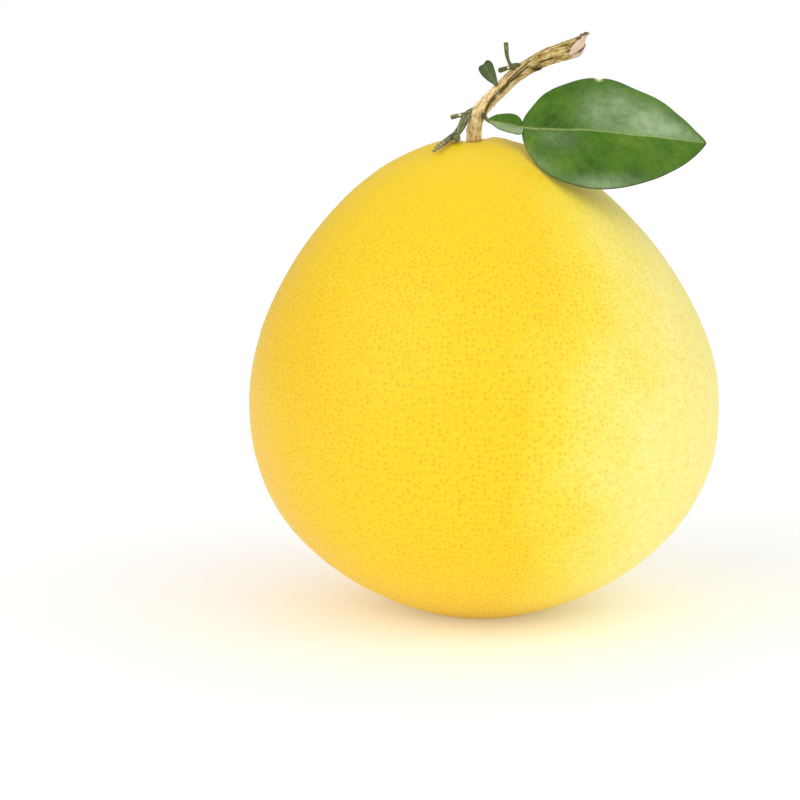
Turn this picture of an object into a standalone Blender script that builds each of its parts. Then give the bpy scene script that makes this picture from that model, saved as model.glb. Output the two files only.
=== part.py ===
"""A whole pomelo, as picked: a big yellow fruit that stands on a small flat spot, its cut twig,
two pruned side shoots, a leaf stalk that has lost its blade, and one whole leaf.

Metres, +Z up. The origin is the middle of the flat spot, and the leaf stands out towards +X.
"""
import math

import bmesh
import bpy
from mathutils import Matrix, Vector

MM = 0.001
GAP = 0.3 * MM  # clear space between neighbouring pieces
WELD = 0.001 * MM  # points nearer than this are one
SHARP_ANGLE = 40.0  # degrees between faces that shading leaves sharp
SLIM_ROUNDING = 2  # extra faces in each quarter turn of a slim bar
BALL_NET = (14, 8)  # faces round a small swelling, and from its top to its foot

# Fruit
FRUIT_RADIUS = 77.5 * MM
CROWN_HEIGHT = 157.6 * MM
WIDEST_HEIGHT = 70.5 * MM
FLAT_RADIUS = 18.0 * MM
UPPER_POWER = 1.51  # how soon the upper half turns in, and how round it is there
UPPER_ROUND = 1.93
LOWER_POWER = 2.35
LOWER_ROUND = 1.61
SHOULDER_SWELL = 1.3 * MM  # the shoulders are a little fuller than that curve
SHOULDER_PLACE = 0.66
LUMP = 0.004  # share of the radius by which the rind swells and sinks round the fruit
LUMP_WAVES = ((3, 0.8), (2, -0.5))  # swellings round the fruit, and where each set starts
BOW_RIGHT = 4.6 * MM  # the fruit bows to the right and then leans to the left
LEAN_LEFT = 7.4 * MM
TIP_BACK = math.tan(math.radians(3.0))  # the crown tips away from the front
DIMPLE_DEPTH = 2.6 * MM  # the stem sits in a furrow that runs from front to back
DIMPLE_REACH = (5.0 * MM, 12.0 * MM)
RIM_HEIGHT = 0.7 * MM  # the rim that stands up beside it, on the leaf's side
RIM_PLACE = 4.2 * MM
RIM_REACH = 5.8 * MM
CROWN_SLOPE = 0.018  # the crown falls a little away from the leaf's side
CROWN_REACH = 28.0 * MM
FRUIT_SEGMENTS = 64
HALF_RINGS = 22  # rings of faces in each half
FLAT_RINGS = 3  # the last of them, which make the flat spot
FLAT_SLACK = 1e-4  # share of a half by which a ring may miss the flat spot's edge
CROWN_CROWDING = 1.4  # rings stand closer together at the crown

# Calyx
CALYX_RADIUS = 4.3 * MM
CALYX_THICKNESS = 0.8 * MM
CALYX_GAP = 0.4 * MM  # over the true skin, whose flat faces stand a little above its furrow
CALYX_LOBES = 5
LOBE_DEPTH = 0.14  # share of the radius
CALYX_NET = (40, 10)

# Twig: its centre line from the calyx to past the cut, and its radius along that line
TWIG_ROUTE = tuple(Vector(p) * MM for p in (
    (-2.7, 0.4, 157.6), (-2.6, 0.8, 160.2), (-1.6, 1.4, 164.5), (1.6, 2.0, 168.5),
    (5.2, 2.6, 172.0), (8.5, 3.2, 175.4), (11.8, 3.9, 178.1), (15.6, 4.5, 180.5),
    (19.9, 5.0, 182.8), (24.1, 5.5, 184.4), (27.7, 5.9, 185.5), (30.9, 6.1, 186.6),
    (34.2, 6.3, 188.1), (37.8, 6.5, 189.9)))
TWIG_RADII = tuple(r * MM for r in (
    2.5, 2.45, 2.4, 2.4, 2.35, 2.4, 2.45, 2.5, 2.7, 2.9, 3.05, 3.1, 3.0, 2.8))
CUT_CENTRE = Vector((31.4, 6.0, 186.5)) * MM
CUT_NORMAL = Vector((0.75, -0.59, -0.29)).normalized()
CUTTER_SIZE = 30.0 * MM
TWIG_STEPS = 44
TWIG_ROUNDING = 4
KNOT_CENTRE = Vector((-0.4, -0.1, 165.3)) * MM  # the swelling where the leaf stalk joins
KNOT_RADIUS = 1.6 * MM
BUD_CENTRE = Vector((17.7, 3.5, 179.6)) * MM
BUD_RADIUS = 1.1 * MM

# Side shoots, each a few short runs with their radii
UPPER_SHOOT = (
    (((10.9, 3.2, 179.5), (8.8, 0.4, 179.9), (7.0, -0.6, 179.4), (5.3, -1.6, 178.9)),
     (0.80, 0.78, 0.82, 0.88)),
    (((13.1, 3.8, 180.9), (10.8, 1.8, 181.3), (9.2, 0.5, 180.9), (8.4, 0.3, 182.2),
      (7.9, 0.4, 184.0), (7.7, 0.6, 185.9), (7.6, 1.0, 188.0)),
     (0.60, 0.50, 0.60, 0.50, 0.62, 0.74, 0.80)),
)
LOWER_SHOOT = (
    (((-2.7, 1.3, 166.5), (-4.5, 0.2, 165.2), (-5.8, -1.8, 163.3), (-7.1, -4.8, 160.7),
      (-8.9, -9.0, 158.5), (-11.2, -13.6, 157.1), (-13.0, -17.0, 155.9),
      (-14.7, -19.4, 154.8), (-16.5, -22.4, 153.3)),
     (1.30, 1.50, 1.40, 1.25, 1.10, 0.95, 0.92, 0.82, 0.35)),
    (((-5.4, -1.2, 164.7), (-8.0, -2.4, 164.3), (-10.4, -2.8, 163.8)),
     (0.95, 0.65, 0.82)),
    (((-8.6, -9.6, 158.7), (-8.7, -13.0, 157.9), (-8.8, -15.4, 157.2)),
     (0.95, 1.05, 1.25)),
)
STEPS_PER_POINT = 3

# Leaf stalk that has lost its blade: a flat heart shape on a narrow foot
BARE_FOOT = Vector((4.6, 0.8, 173.8)) * MM
BARE_TIP = Vector((0.5, 0.0, 180.8)) * MM
BARE_FOOT_HALF_WIDTH = 0.45 * MM
BARE_LOBES = (  # each lobe's centre along the stalk and beside it, and its radius
    (7.1 * MM, 1.45 * MM, 1.25 * MM), (7.5 * MM, 1.05 * MM, 1.35 * MM))
BARE_THICKNESS = 0.7 * MM
LOBE_ARC = (-40.0, 145.0)  # degrees, from the lobe's outer side round to the notch
LOBE_STEPS = 10
NOTCH_HALF_WIDTH = 0.05 * MM

# Leaf: stalk with its two wings, then the blade
STALK_ROUTE = tuple(Vector(p) * MM for p in (
    (-0.4, 0.6, 165.2), (0.8, -1.9, 164.0), (1.6, -4.4, 162.9), (3.7, -7.4, 162.3),
    (6.3, -10.8, 161.8), (9.1, -13.7, 161.4), (11.9, -16.2, 160.7)))
MIDRIB_ROUTE = tuple(Vector(p) * MM for p in (
    (11.9, -16.2, 160.7), (14.7, -18.5, 160.5), (17.8, -20.2, 160.4), (24.0, -22.3, 160.2),
    (34.6, -24.0, 159.9), (48.5, -24.0, 158.4), (62.0, -22.0, 156.9), (70.7, -19.6, 155.9)))
STALK_RADIUS = 0.75 * MM
RIB_RADIUS = 0.62 * MM
RIB_TIP_RADIUS = 0.45 * MM
LEAF_THICKNESS = 0.7 * MM
BLADE_HALF_WIDTH = 20.4 * MM
BLADE_MARGINS = {1: (0.68, 0.92), -1: (0.50, 0.84)}  # powers of the upper and lower outline
BLADE_TILTS = {1: 37.0, -1: 31.0}  # degrees each half leans out of the upright
BLADE_ARCH = 0.9 * MM  # how far each half arches between the midrib and its margin
BLADE_RIPPLE = 0.5 * MM
RIPPLE_COUNT = 3.3
WING_START = 0.30  # where on the stalk the wings begin
WING_HALF_WIDTH = 3.9 * MM
WING_MARGIN = (0.8, 0.3)
WING_TILTS = {1: 30.0, -1: 52.0}
WING_ARCH = 0.3 * MM
EDGE_HALF_WIDTH = 0.35 * MM  # half width left where an outline comes to its point
BLADE_GRID = (34, 12)
WING_GRID = (12, 6)
RIB_STEPS = 30

COLOURS = {  # linear base colour and roughness of each piece's material
    "fruit": ((0.92, 0.66, 0.05), 0.45),
    "calyx": ((0.16, 0.17, 0.06), 0.75),
    "twig": ((0.46, 0.33, 0.16), 0.80),
    "upper_shoot": ((0.24, 0.27, 0.13), 0.70),
    "lower_shoot": ((0.15, 0.17, 0.07), 0.70),
    "bare_petiole": ((0.08, 0.14, 0.05), 0.55),
    "leaf": ((0.10, 0.22, 0.04), 0.40),
}


def clear_scene():
    """Start from an empty scene."""
    for item in list(bpy.data.objects):
        bpy.data.objects.remove(item, do_unlink=True)


def new_collection(name):
    """A collection under the scene's own."""
    group = bpy.data.collections.new(name)
    bpy.context.scene.collection.children.link(group)
    return group


def paint(piece):
    """Give a piece the plain material of its own name."""
    colour, roughness = COLOURS[piece.name]
    material = bpy.data.materials.new(piece.name)
    material.use_nodes = True
    shader = material.node_tree.nodes["Principled BSDF"]
    shader.inputs["Base Color"].default_value = (*colour, 1.0)
    shader.inputs["Roughness"].default_value = roughness
    piece.data.materials.clear()
    piece.data.materials.append(material)


def mesh_object(name, form, group):
    """An object in a group from a finished bmesh, which it frees."""
    mesh = bpy.data.meshes.new(name)
    form.to_mesh(mesh)
    form.free()
    piece = bpy.data.objects.new(name, mesh)
    group.objects.link(piece)
    return piece


def settled_mesh(piece):
    """A copy of a piece's mesh as its modifiers leave it."""
    graph = bpy.context.evaluated_depsgraph_get()
    return bpy.data.meshes.new_from_object(piece.evaluated_get(graph))


def apply_modifiers(piece):
    """Replace a piece's mesh by its settled one."""
    mesh = settled_mesh(piece)
    piece.modifiers.clear()
    piece.data = mesh


def join(piece, others):
    """Fuse other closed shapes into a piece, and remove them."""
    extras = bpy.data.collections.new(piece.name + "_extras")
    for other in others:
        for group in list(other.users_collection):
            group.objects.unlink(other)
        extras.objects.link(other)
    bpy.context.scene.collection.children.link(extras)
    union = piece.modifiers.new("fuse", "BOOLEAN")
    union.operation = "UNION"
    union.operand_type = "COLLECTION"
    union.collection = extras
    apply_modifiers(piece)
    for other in others:
        bpy.data.objects.remove(other, do_unlink=True)
    bpy.data.collections.remove(extras)


def cut(piece, cutter):
    """Take a cutter's shape away from a piece."""
    trim = piece.modifiers.new("trim", "BOOLEAN")
    trim.operation = "DIFFERENCE"
    trim.object = cutter
    apply_modifiers(piece)


def path_point(route, share):
    """The point at a share of a smooth curve through the route's points."""
    place = min(max(share, 0.0), 1.0) * (len(route) - 1)
    span = min(int(place), len(route) - 2)
    t = place - span
    before = route[max(span - 1, 0)]
    start, end = route[span], route[span + 1]
    after = route[min(span + 2, len(route) - 1)]
    return 0.5 * (2 * start + (end - before) * t
                  + (2 * before - 5 * start + 4 * end - after) * t * t
                  + (3 * start - before - 3 * end + after) * t ** 3)


def path_radius(radii, share):
    """The radius at a share of a path, straight between the given ones."""
    place = min(max(share, 0.0), 1.0) * (len(radii) - 1)
    span = min(int(place), len(radii) - 2)
    return radii[span] + (radii[span + 1] - radii[span]) * (place - span)


def tube(name, route, radii, steps, resolution, group):
    """A closed round bar along a smooth curve, whose radius changes on the way."""
    curve = bpy.data.curves.new(name, "CURVE")
    curve.dimensions = "3D"
    curve.bevel_depth = MM
    curve.bevel_resolution = resolution
    curve.use_fill_caps = True
    spline = curve.splines.new("POLY")
    spline.points.add(steps)
    for index, spot in enumerate(spline.points):
        share = index / steps
        spot.co = (*path_point(route, share), 1.0)
        spot.radius = path_radius(radii, share) / MM
    guide = bpy.data.objects.new(name + "_route", curve)
    group.objects.link(guide)
    bpy.context.view_layer.update()
    form = bmesh.new()
    mesh = settled_mesh(guide)
    form.from_mesh(mesh)
    bmesh.ops.remove_doubles(form, verts=form.verts, dist=WELD)
    bpy.data.objects.remove(guide, do_unlink=True)
    bpy.data.meshes.remove(mesh)
    return mesh_object(name, form, group)


def ball(name, centre, radius, group):
    """A small round swelling, to be fused into a twig."""
    form = bmesh.new()
    bmesh.ops.create_uvsphere(form, u_segments=BALL_NET[0], v_segments=BALL_NET[1],
                              radius=radius, matrix=Matrix.Translation(centre))
    return mesh_object(name, form, group)


def settle(point):
    """Bow, lean and tip back a point of the upright round fruit, more so higher up."""
    height = point.z / CROWN_HEIGHT
    sway = BOW_RIGHT * height - LEAN_LEFT * height ** 2
    tip = TIP_BACK * height ** 2 * point.y
    return Vector((point.x + sway, point.y, point.z - tip))


def crown_relief(x, y):
    """Height that the crown gains at a place: its slope and rim, less the stem's furrow."""
    furrow = DIMPLE_DEPTH * math.exp(-(x / DIMPLE_REACH[0]) ** 2 - (y / DIMPLE_REACH[1]) ** 2)
    rim = RIM_HEIGHT * math.exp(-((x - RIM_PLACE) ** 2 + y ** 2) / RIM_REACH ** 2)
    slope = CROWN_SLOPE * x * math.exp(-(x ** 2 + y ** 2) / CROWN_REACH ** 2)
    return slope + rim - furrow


def upper_ring(turn):
    """Radius and height of the upper half, from 0 at the crown to 1 at the widest ring."""
    rise = math.cos(math.pi / 2 * turn ** CROWN_CROWDING)
    spread = max(1 - rise ** UPPER_POWER, 0.0) ** (1 / UPPER_ROUND)
    swell = SHOULDER_SWELL * math.sin(math.pi * rise ** SHOULDER_PLACE) ** 2
    radius = FRUIT_RADIUS * spread + swell
    return radius, WIDEST_HEIGHT + (CROWN_HEIGHT - WIDEST_HEIGHT) * rise


def lower_ring(turn):
    """Radius and height of the lower half, from 0 at the widest ring to 1 under the fruit."""
    flat_share = FLAT_RINGS / HALF_RINGS
    if turn > 1 - flat_share - FLAT_SLACK:
        return FLAT_RADIUS * (1 - turn) / flat_share, 0.0
    depth_at_flat = (1 - (FLAT_RADIUS / FRUIT_RADIUS) ** LOWER_ROUND) ** (1 / LOWER_POWER)
    fall = math.sin(math.pi / 2 * turn / (1 - flat_share))
    radius = FRUIT_RADIUS * (1 - (fall * depth_at_flat) ** LOWER_POWER) ** (1 / LOWER_ROUND)
    return radius, WIDEST_HEIGHT * (1 - fall)


def build_fruit(group):
    """The fruit: a sphere's net of faces laid on the fruit's own profile."""
    form = bmesh.new()
    bmesh.ops.create_uvsphere(form, u_segments=FRUIT_SEGMENTS, v_segments=2 * HALF_RINGS,
                              radius=1.0)
    for vert in form.verts:
        turn = math.acos(max(-1.0, min(1.0, vert.co.z))) / (math.pi / 2)
        around = math.atan2(vert.co.y, vert.co.x)
        radius, height = upper_ring(turn) if turn <= 1 else lower_ring(turn - 1)
        fullness = math.sin(math.pi / 2 * turn) ** 2
        waves = sum(math.cos(count * around + start) for count, start in LUMP_WAVES)
        radius *= 1 + LUMP * fullness * waves
        x, y = radius * math.cos(around), radius * math.sin(around)
        if turn <= 1:
            height += crown_relief(x, y)
        vert.co = settle(Vector((x, y, height)))
    return mesh_object("fruit", form, group)


def crown_height(x, y):
    """Height of the crown's skin at a place near the stem."""
    rise = (1 - (math.hypot(x, y) / FRUIT_RADIUS) ** UPPER_ROUND) ** (1 / UPPER_POWER)
    return WIDEST_HEIGHT + (CROWN_HEIGHT - WIDEST_HEIGHT) * rise + crown_relief(x, y)


def build_calyx(group):
    """The five-lobed button in the dimple, which follows the skin under it."""
    form = bmesh.new()
    bmesh.ops.create_uvsphere(form, u_segments=CALYX_NET[0], v_segments=CALYX_NET[1],
                              radius=1.0)
    for vert in form.verts:
        around = math.atan2(vert.co.y, vert.co.x)
        out = math.hypot(vert.co.x, vert.co.y)
        radius = out * CALYX_RADIUS * (1 + LOBE_DEPTH * math.cos(CALYX_LOBES * around))
        x, y = radius * math.cos(around), radius * math.sin(around)
        height = crown_height(x, y) + CALYX_GAP + CALYX_THICKNESS * max(vert.co.z, 0.0)
        vert.co = settle(Vector((x, y, height)))
    return mesh_object("calyx", form, group)


def build_twig(group):
    """The twig with its knot and bud, cut off on the slant."""
    twig = tube("twig", TWIG_ROUTE, TWIG_RADII, TWIG_STEPS, TWIG_ROUNDING, group)
    knot = ball("knot", KNOT_CENTRE, KNOT_RADIUS, group)
    bud = ball("bud", BUD_CENTRE, BUD_RADIUS, group)
    join(twig, [knot, bud])
    return twig


def build_cut_guide(guides):
    """The block whose face is the slanting cut."""
    form = bmesh.new()
    turn = CUT_NORMAL.to_track_quat("Z", "Y").to_matrix().to_4x4()
    place = Matrix.Translation(CUT_CENTRE + CUT_NORMAL * CUTTER_SIZE / 2) @ turn
    bmesh.ops.create_cube(form, size=CUTTER_SIZE, matrix=place)
    return as_guide(mesh_object("cut_block", form, guides))


def build_twig_guide(guides):
    """The twig's space with the gap round it, which every side piece stops at."""
    radii = tuple(radius + GAP for radius in TWIG_RADII)
    space = tube("twig_space", TWIG_ROUTE, radii, TWIG_STEPS, TWIG_ROUNDING, guides)
    knot = ball("knot_space", KNOT_CENTRE, KNOT_RADIUS + GAP, guides)
    join(space, [knot])
    return as_guide(space)


def as_guide(piece):
    """Show a cutter as wire, and never render it."""
    piece.hide_render = True
    piece.display_type = "WIRE"
    return piece


def build_shoot(name, runs, group, twig_space):
    """A side shoot fused from its runs, stopped at the twig."""
    bars = []
    for index, (points, radii) in enumerate(runs):
        route = tuple(Vector(point) * MM for point in points)
        sizes = tuple(radius * MM for radius in radii)
        steps = STEPS_PER_POINT * len(points)
        bars.append(tube(f"{name}_{index}", route, sizes, steps, SLIM_ROUNDING, group))
    shoot = bars[0]
    shoot.name = name
    join(shoot, bars[1:])
    cut(shoot, twig_space)
    return shoot


def heart_outline():
    """Points of the bare stalk's outline, along and across: foot, lobe, notch, and back."""
    sides = []
    for lobe_along, lobe_across, radius in BARE_LOBES:
        side = [(0.0, BARE_FOOT_HALF_WIDTH)]
        for step in range(LOBE_STEPS + 1):
            angle = math.radians(LOBE_ARC[0] + (LOBE_ARC[1] - LOBE_ARC[0]) * step / LOBE_STEPS)
            across = lobe_across + radius * math.cos(angle)
            side.append((lobe_along + radius * math.sin(angle), max(across, NOTCH_HALF_WIDTH)))
        sides.append(side)
    return sides[0] + [(along, -across) for along, across in reversed(sides[1])]


def build_bare_petiole(group, twig_space):
    """The flat heart-shaped stalk, stopped at the twig."""
    curve = bpy.data.curves.new("bare_outline", "CURVE")
    curve.dimensions = "2D"
    curve.fill_mode = "BOTH"
    curve.extrude = BARE_THICKNESS / 2
    points = heart_outline()
    spline = curve.splines.new("POLY")
    spline.points.add(len(points) - 1)
    spline.use_cyclic_u = True
    for spot, (along, across) in zip(spline.points, points):
        spot.co = (along, across, 0.0, 1.0)
    guide = bpy.data.objects.new("bare_outline", curve)
    group.objects.link(guide)
    bpy.context.view_layer.update()
    form = bmesh.new()
    form.from_mesh(settled_mesh(guide))
    bmesh.ops.remove_doubles(form, verts=form.verts, dist=WELD)
    axis = (BARE_TIP - BARE_FOOT).normalized()
    face = Vector((0.0, -1.0, 0.0))
    side = face.cross(axis).normalized()
    turn = Matrix((axis, side, axis.cross(side))).transposed().to_4x4()
    bmesh.ops.transform(form, matrix=Matrix.Translation(BARE_FOOT) @ turn, verts=form.verts)
    bpy.data.objects.remove(guide, do_unlink=True)
    stalk = mesh_object("bare_petiole", form, group)
    cut(stalk, twig_space)
    return stalk


def sheet(name, grid, point, group):
    """A thin closed leaf surface: a grid laid by a rule, then given its thickness."""
    form = bmesh.new()
    bmesh.ops.create_grid(form, x_segments=grid[0], y_segments=grid[1], size=0.5)
    for vert in form.verts:
        vert.co = point(vert.co.x + 0.5, 2 * vert.co.y)
    piece = mesh_object(name, form, group)
    piece.modifiers.new("triangles", "TRIANGULATE")
    wall = piece.modifiers.new("thickness", "SOLIDIFY")
    wall.thickness = LEAF_THICKNESS
    wall.offset = 0.0
    apply_modifiers(piece)
    return piece


def outline_share(u, powers):
    """Half width of a leaf outline as a share of its widest: u^a (1 - u)^b, scaled to 1."""
    rise, fall = powers
    peak = rise / (rise + fall)
    widest = peak ** rise * (1 - peak) ** fall
    return max(u, 0.0) ** rise * max(1 - u, 0.0) ** fall / widest


def leaf_point(foot, out, half_width, tilt, arch, ripple):
    """A point of the leaf: out from its rib along the tilted half, arched and rippled."""
    side = 1 if out >= 0 else -1
    lean = math.radians(tilt)
    across = Vector((0.0, math.sin(lean), math.cos(lean))) * side
    front = Vector((0.0, -math.cos(lean), math.sin(lean)))
    reach = abs(out)
    bulge = arch * math.sin(math.pi * reach) + ripple * reach ** 3
    return foot + across * (reach * half_width) + front * bulge


def blade_point(u, out):
    """The blade: u runs from its base to its tip, out from -1 to 1 across it."""
    side = 1 if out >= 0 else -1
    foot = path_point(MIDRIB_ROUTE, u)
    start, end = MIDRIB_ROUTE[0].x, MIDRIB_ROUTE[-1].x
    share = outline_share((foot.x - start) / (end - start), BLADE_MARGINS[side])
    half_width = BLADE_HALF_WIDTH * share + EDGE_HALF_WIDTH
    ripple = BLADE_RIPPLE * share * math.sin(2 * math.pi * RIPPLE_COUNT * u + side)
    return leaf_point(foot, out, half_width, BLADE_TILTS[side], BLADE_ARCH * share, ripple)


def wing_point(u, out):
    """The wings on the stalk, folded into a shallow valley."""
    side = 1 if out >= 0 else -1
    foot = path_point(STALK_ROUTE, WING_START + (1 - WING_START) * u)
    share = outline_share(u, WING_MARGIN)
    half_width = WING_HALF_WIDTH * share + EDGE_HALF_WIDTH
    return leaf_point(foot, out, half_width, WING_TILTS[side], WING_ARCH * share, 0.0)


def build_leaf(group, twig_space):
    """The whole leaf: blade, wings, stalk and midrib grown as one."""
    leaf = sheet("leaf", BLADE_GRID, blade_point, group)
    wings = sheet("wings", WING_GRID, wing_point, group)
    route = STALK_ROUTE[:-1] + MIDRIB_ROUTE
    joint = (len(STALK_ROUTE) - 1) / (len(route) - 1)
    radii = tuple(STALK_RADIUS if i / (len(route) - 1) <= joint else RIB_RADIUS
                  for i in range(len(route) - 1)) + (RIB_TIP_RADIUS,)
    rib = tube("rib", route, radii, RIB_STEPS, SLIM_ROUNDING, group)
    join(leaf, [wings, rib])
    cut(leaf, twig_space)
    return leaf


def build_pomelo():
    """Every piece of the pomelo, in one collection, with the cutters in another."""
    clear_scene()
    group = new_collection("pomelo")
    guides = new_collection("guides")
    twig_space = build_twig_guide(guides)
    twig = build_twig(group)
    cut(twig, build_cut_guide(guides))
    pieces = [
        build_fruit(group),
        build_calyx(group),
        twig,
        build_shoot("upper_shoot", UPPER_SHOOT, group, twig_space),
        build_shoot("lower_shoot", LOWER_SHOOT, group, twig_space),
        build_bare_petiole(group, twig_space),
        build_leaf(group, twig_space),
    ]
    for piece in pieces:
        paint(piece)
        piece.data.shade_smooth()
        piece.data.set_sharp_from_angle(angle=math.radians(SHARP_ANGLE))


build_pomelo()
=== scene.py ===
import math

import bmesh
import bpy
import numpy as np
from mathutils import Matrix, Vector


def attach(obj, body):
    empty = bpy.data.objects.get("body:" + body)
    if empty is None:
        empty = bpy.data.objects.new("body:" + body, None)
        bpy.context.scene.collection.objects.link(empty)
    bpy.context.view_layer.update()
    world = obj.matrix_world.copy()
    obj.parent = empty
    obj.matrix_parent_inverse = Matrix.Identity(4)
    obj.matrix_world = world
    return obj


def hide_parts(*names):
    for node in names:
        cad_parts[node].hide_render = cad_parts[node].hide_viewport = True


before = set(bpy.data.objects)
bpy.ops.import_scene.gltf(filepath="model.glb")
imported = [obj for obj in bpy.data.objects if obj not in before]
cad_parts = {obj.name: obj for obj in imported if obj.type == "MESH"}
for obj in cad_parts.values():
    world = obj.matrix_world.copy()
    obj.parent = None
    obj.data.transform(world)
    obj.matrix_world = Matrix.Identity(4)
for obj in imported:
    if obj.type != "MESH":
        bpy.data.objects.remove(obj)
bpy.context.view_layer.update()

# The picture: the fruit stands on a white table in soft white light, seen from a little above
# the middle through a long lens. Broad lights from both sides and above leave it little shade.
MM = 0.001
CAMERA_PLACE = (-0.0270, -0.7335, 0.1734)
CAMERA_FALL = math.radians(8.0)
CAMERA_LENS = 100.0
SENSOR_WIDTH = 36.0
TABLE_REACH = 6.0
TABLE_WHITE = (0.96, 0.96, 0.96, 1.0)
TABLE_GLOW = 0.18
SKY_WHITE = (1.0, 1.0, 1.0, 1.0)
SKY_STRENGTH = 0.53
SKY_SEEN = 1.0
LIGHTS = {  # the way that it comes from, its share of full light, and its width in degrees
    "light_right": ((0.70, -0.75, 0.48), 0.23, 85.0),
    "light_left": ((-0.70, -0.60, 0.45), 0.26, 60.0),
    "light_top": ((0.0, -0.40, 1.00), 0.15, 120.0),
    "light_back": ((0.70, 0.50, 0.50), 0.06, 100.0),
}
camera_data = bpy.data.cameras.new("camera")
camera_data.lens = CAMERA_LENS
camera_data.sensor_width = SENSOR_WIDTH
camera_data.clip_start = 0.01
camera = bpy.data.objects.new("camera", camera_data)
camera.location = CAMERA_PLACE
camera.rotation_euler = (math.pi / 2 - CAMERA_FALL, 0.0, 0.0)
bpy.context.scene.collection.objects.link(camera)
bpy.context.scene.camera = camera
bpy.context.scene.view_settings.view_transform = "Standard"

for light_name, (way, share, width) in LIGHTS.items():
    light_data = bpy.data.lights.new(light_name, "SUN")
    light_data.energy = math.pi * share
    light_data.angle = math.radians(width)
    light = bpy.data.objects.new(light_name, light_data)
    light.location = way
    light.rotation_euler = Vector(way).to_track_quat("Z", "Y").to_euler()
    bpy.context.scene.collection.objects.link(light)


def node(tree, kind, inputs=None, **settings):
    """A shader node whose inputs are plain values or other nodes' outputs."""
    made = tree.nodes.new("ShaderNode" + kind)
    for key, value in settings.items():
        setattr(made, key, value)
    for key, value in (inputs or {}).items():
        if isinstance(value, bpy.types.NodeSocket):
            tree.links.new(value, made.inputs[key])
        else:
            made.inputs[key].default_value = value
    return made


def rescaled(tree, value, low, high, to_low=0.0, to_high=1.0):
    """A number moved from one range to another and held inside it."""
    made = node(tree, "MapRange", {"Value": value, "From Min": low, "From Max": high,
                                   "To Min": to_low, "To Max": to_high})
    return made.outputs["Result"]


def fresh_material(name, roughness, specular=0.5):
    """A new material with its node tree and its Principled shader."""
    material = bpy.data.materials.new(name)
    material.use_nodes = True
    tree = material.node_tree
    shader = tree.nodes["Principled BSDF"]
    shader.inputs["Roughness"].default_value = roughness
    shader.inputs["Specular IOR Level"].default_value = specular
    return material, tree, shader


sky = bpy.data.worlds.new("studio")
sky.use_nodes = True
sky_shade = sky.node_tree.nodes["Background"]
sky_shade.inputs["Color"].default_value = SKY_WHITE
seen = node(sky.node_tree, "LightPath").outputs["Is Camera Ray"]
sky_level = rescaled(sky.node_tree, seen, 0.0, 1.0, SKY_STRENGTH, SKY_SEEN)
sky.node_tree.links.new(sky_level, sky_shade.inputs["Strength"])
bpy.context.scene.world = sky

table_material, _, table_shader = fresh_material("table_white", 0.9, 0.1)
table_shader.inputs["Base Color"].default_value = TABLE_WHITE
table_shader.inputs["Emission Color"].default_value = TABLE_WHITE
table_shader.inputs["Emission Strength"].default_value = TABLE_GLOW
table_mesh = bpy.data.meshes.new("table")
table_mesh.from_pydata(
    [(x * TABLE_REACH, y * TABLE_REACH, 0.0) for x, y in ((-1, -1), (1, -1), (1, 1), (-1, 1))],
    [], [(0, 1, 2, 3)])
table_mesh.materials.append(table_material)
table = bpy.data.objects.new("table", table_mesh)
bpy.context.scene.collection.objects.link(table)


# The rind: the fruit's whole skin, thick, oily and bright yellow. It grew as one piece, a little
# lopsided, with a shallow dimple at the stem, a flattened foot, and a fine oil gland every 2 mm.
FRUIT_RADIUS = 77.5 * MM
CROWN_HEIGHT = 157.6 * MM
WIDEST_HEIGHT = 70.5 * MM
FLAT_RADIUS = 18.0 * MM
UPPER_POWER, UPPER_ROUND = 1.51, 1.93
LOWER_POWER, LOWER_ROUND = 2.35, 1.61
SHOULDER_SWELL, SHOULDER_PLACE = 1.3 * MM, 0.66
LUMP = 0.004
LUMP_WAVES = ((3, 0.8), (2, -0.5))  # waves round the fruit, and where each starts as an angle
BOW_RIGHT, LEAN_LEFT = 4.6 * MM, 7.4 * MM
TIP_BACK = math.tan(math.radians(3.0))
FURROW_DEPTH, FURROW_REACH = 2.6 * MM, (5.0 * MM, 12.0 * MM)
RIM_HEIGHT, RIM_PLACE, RIM_REACH = 0.7 * MM, 4.2 * MM, 5.8 * MM
CROWN_SLOPE, CROWN_REACH = 0.018, 28.0 * MM
CROWN_CROWDING = 1.4
FLAT_SHARE = 3 / 22
RIND_ROWS, RIND_COLUMNS = 222, 440
SWELL_HEIGHT, SWELL_WAVE = 0.07 * MM, 28.0 * MM
PEBBLE_HEIGHT, PEBBLE_WAVE = 0.030 * MM, 3.8 * MM
FOOT_EASE = 4.0 * MM
GLAND_SPACING = 1.95 * MM
GLAND_CENTRE = np.array((0.0, 0.0, 78.0)) * MM
QUARTER = math.pi / 2
# The rind pales from golden on the left to lemon on the right: partly its own tint, partly painted
# light from the right, which also washes out the gland dots on that side.
GOLDEN_X, LEMON_AND_LIT_X = -75.0 * MM, 78.0 * MM
PATCH_STRENGTH = 0.07
RIND_TINTS_AND_PAINTED_LIGHT = (  # golden at 0 to lemon at 1
    (0.02, (0.90, 0.57, 0.010)), (0.28, (0.94, 0.64, 0.005)), (0.57, (0.94, 0.65, 0.006)),
    (0.66, (0.96, 0.74, 0.045)), (0.76, (0.98, 0.83, 0.16)), (0.84, (0.99, 0.88, 0.26)))
FLECK_COLOUR = (0.84, 0.56, 0.010)
PIT_COLOUR, PIT_SHARE, PIT_DEPTH = (0.74, 0.42, 0.006), 0.72, 0.09 * MM
SMOOTH_FROM, SMOOTH_TO = 120.0 * MM, 150.0 * MM


def settle(points):
    """Bow, lean and tip back: x gains a height's first power and loses its square, z loses y."""
    height = points[..., 2] / CROWN_HEIGHT
    sway = BOW_RIGHT * height - LEAN_LEFT * height ** 2
    tip = TIP_BACK * height ** 2 * points[..., 1]
    return np.stack([points[..., 0] + sway, points[..., 1], points[..., 2] - tip], axis=-1)


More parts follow.
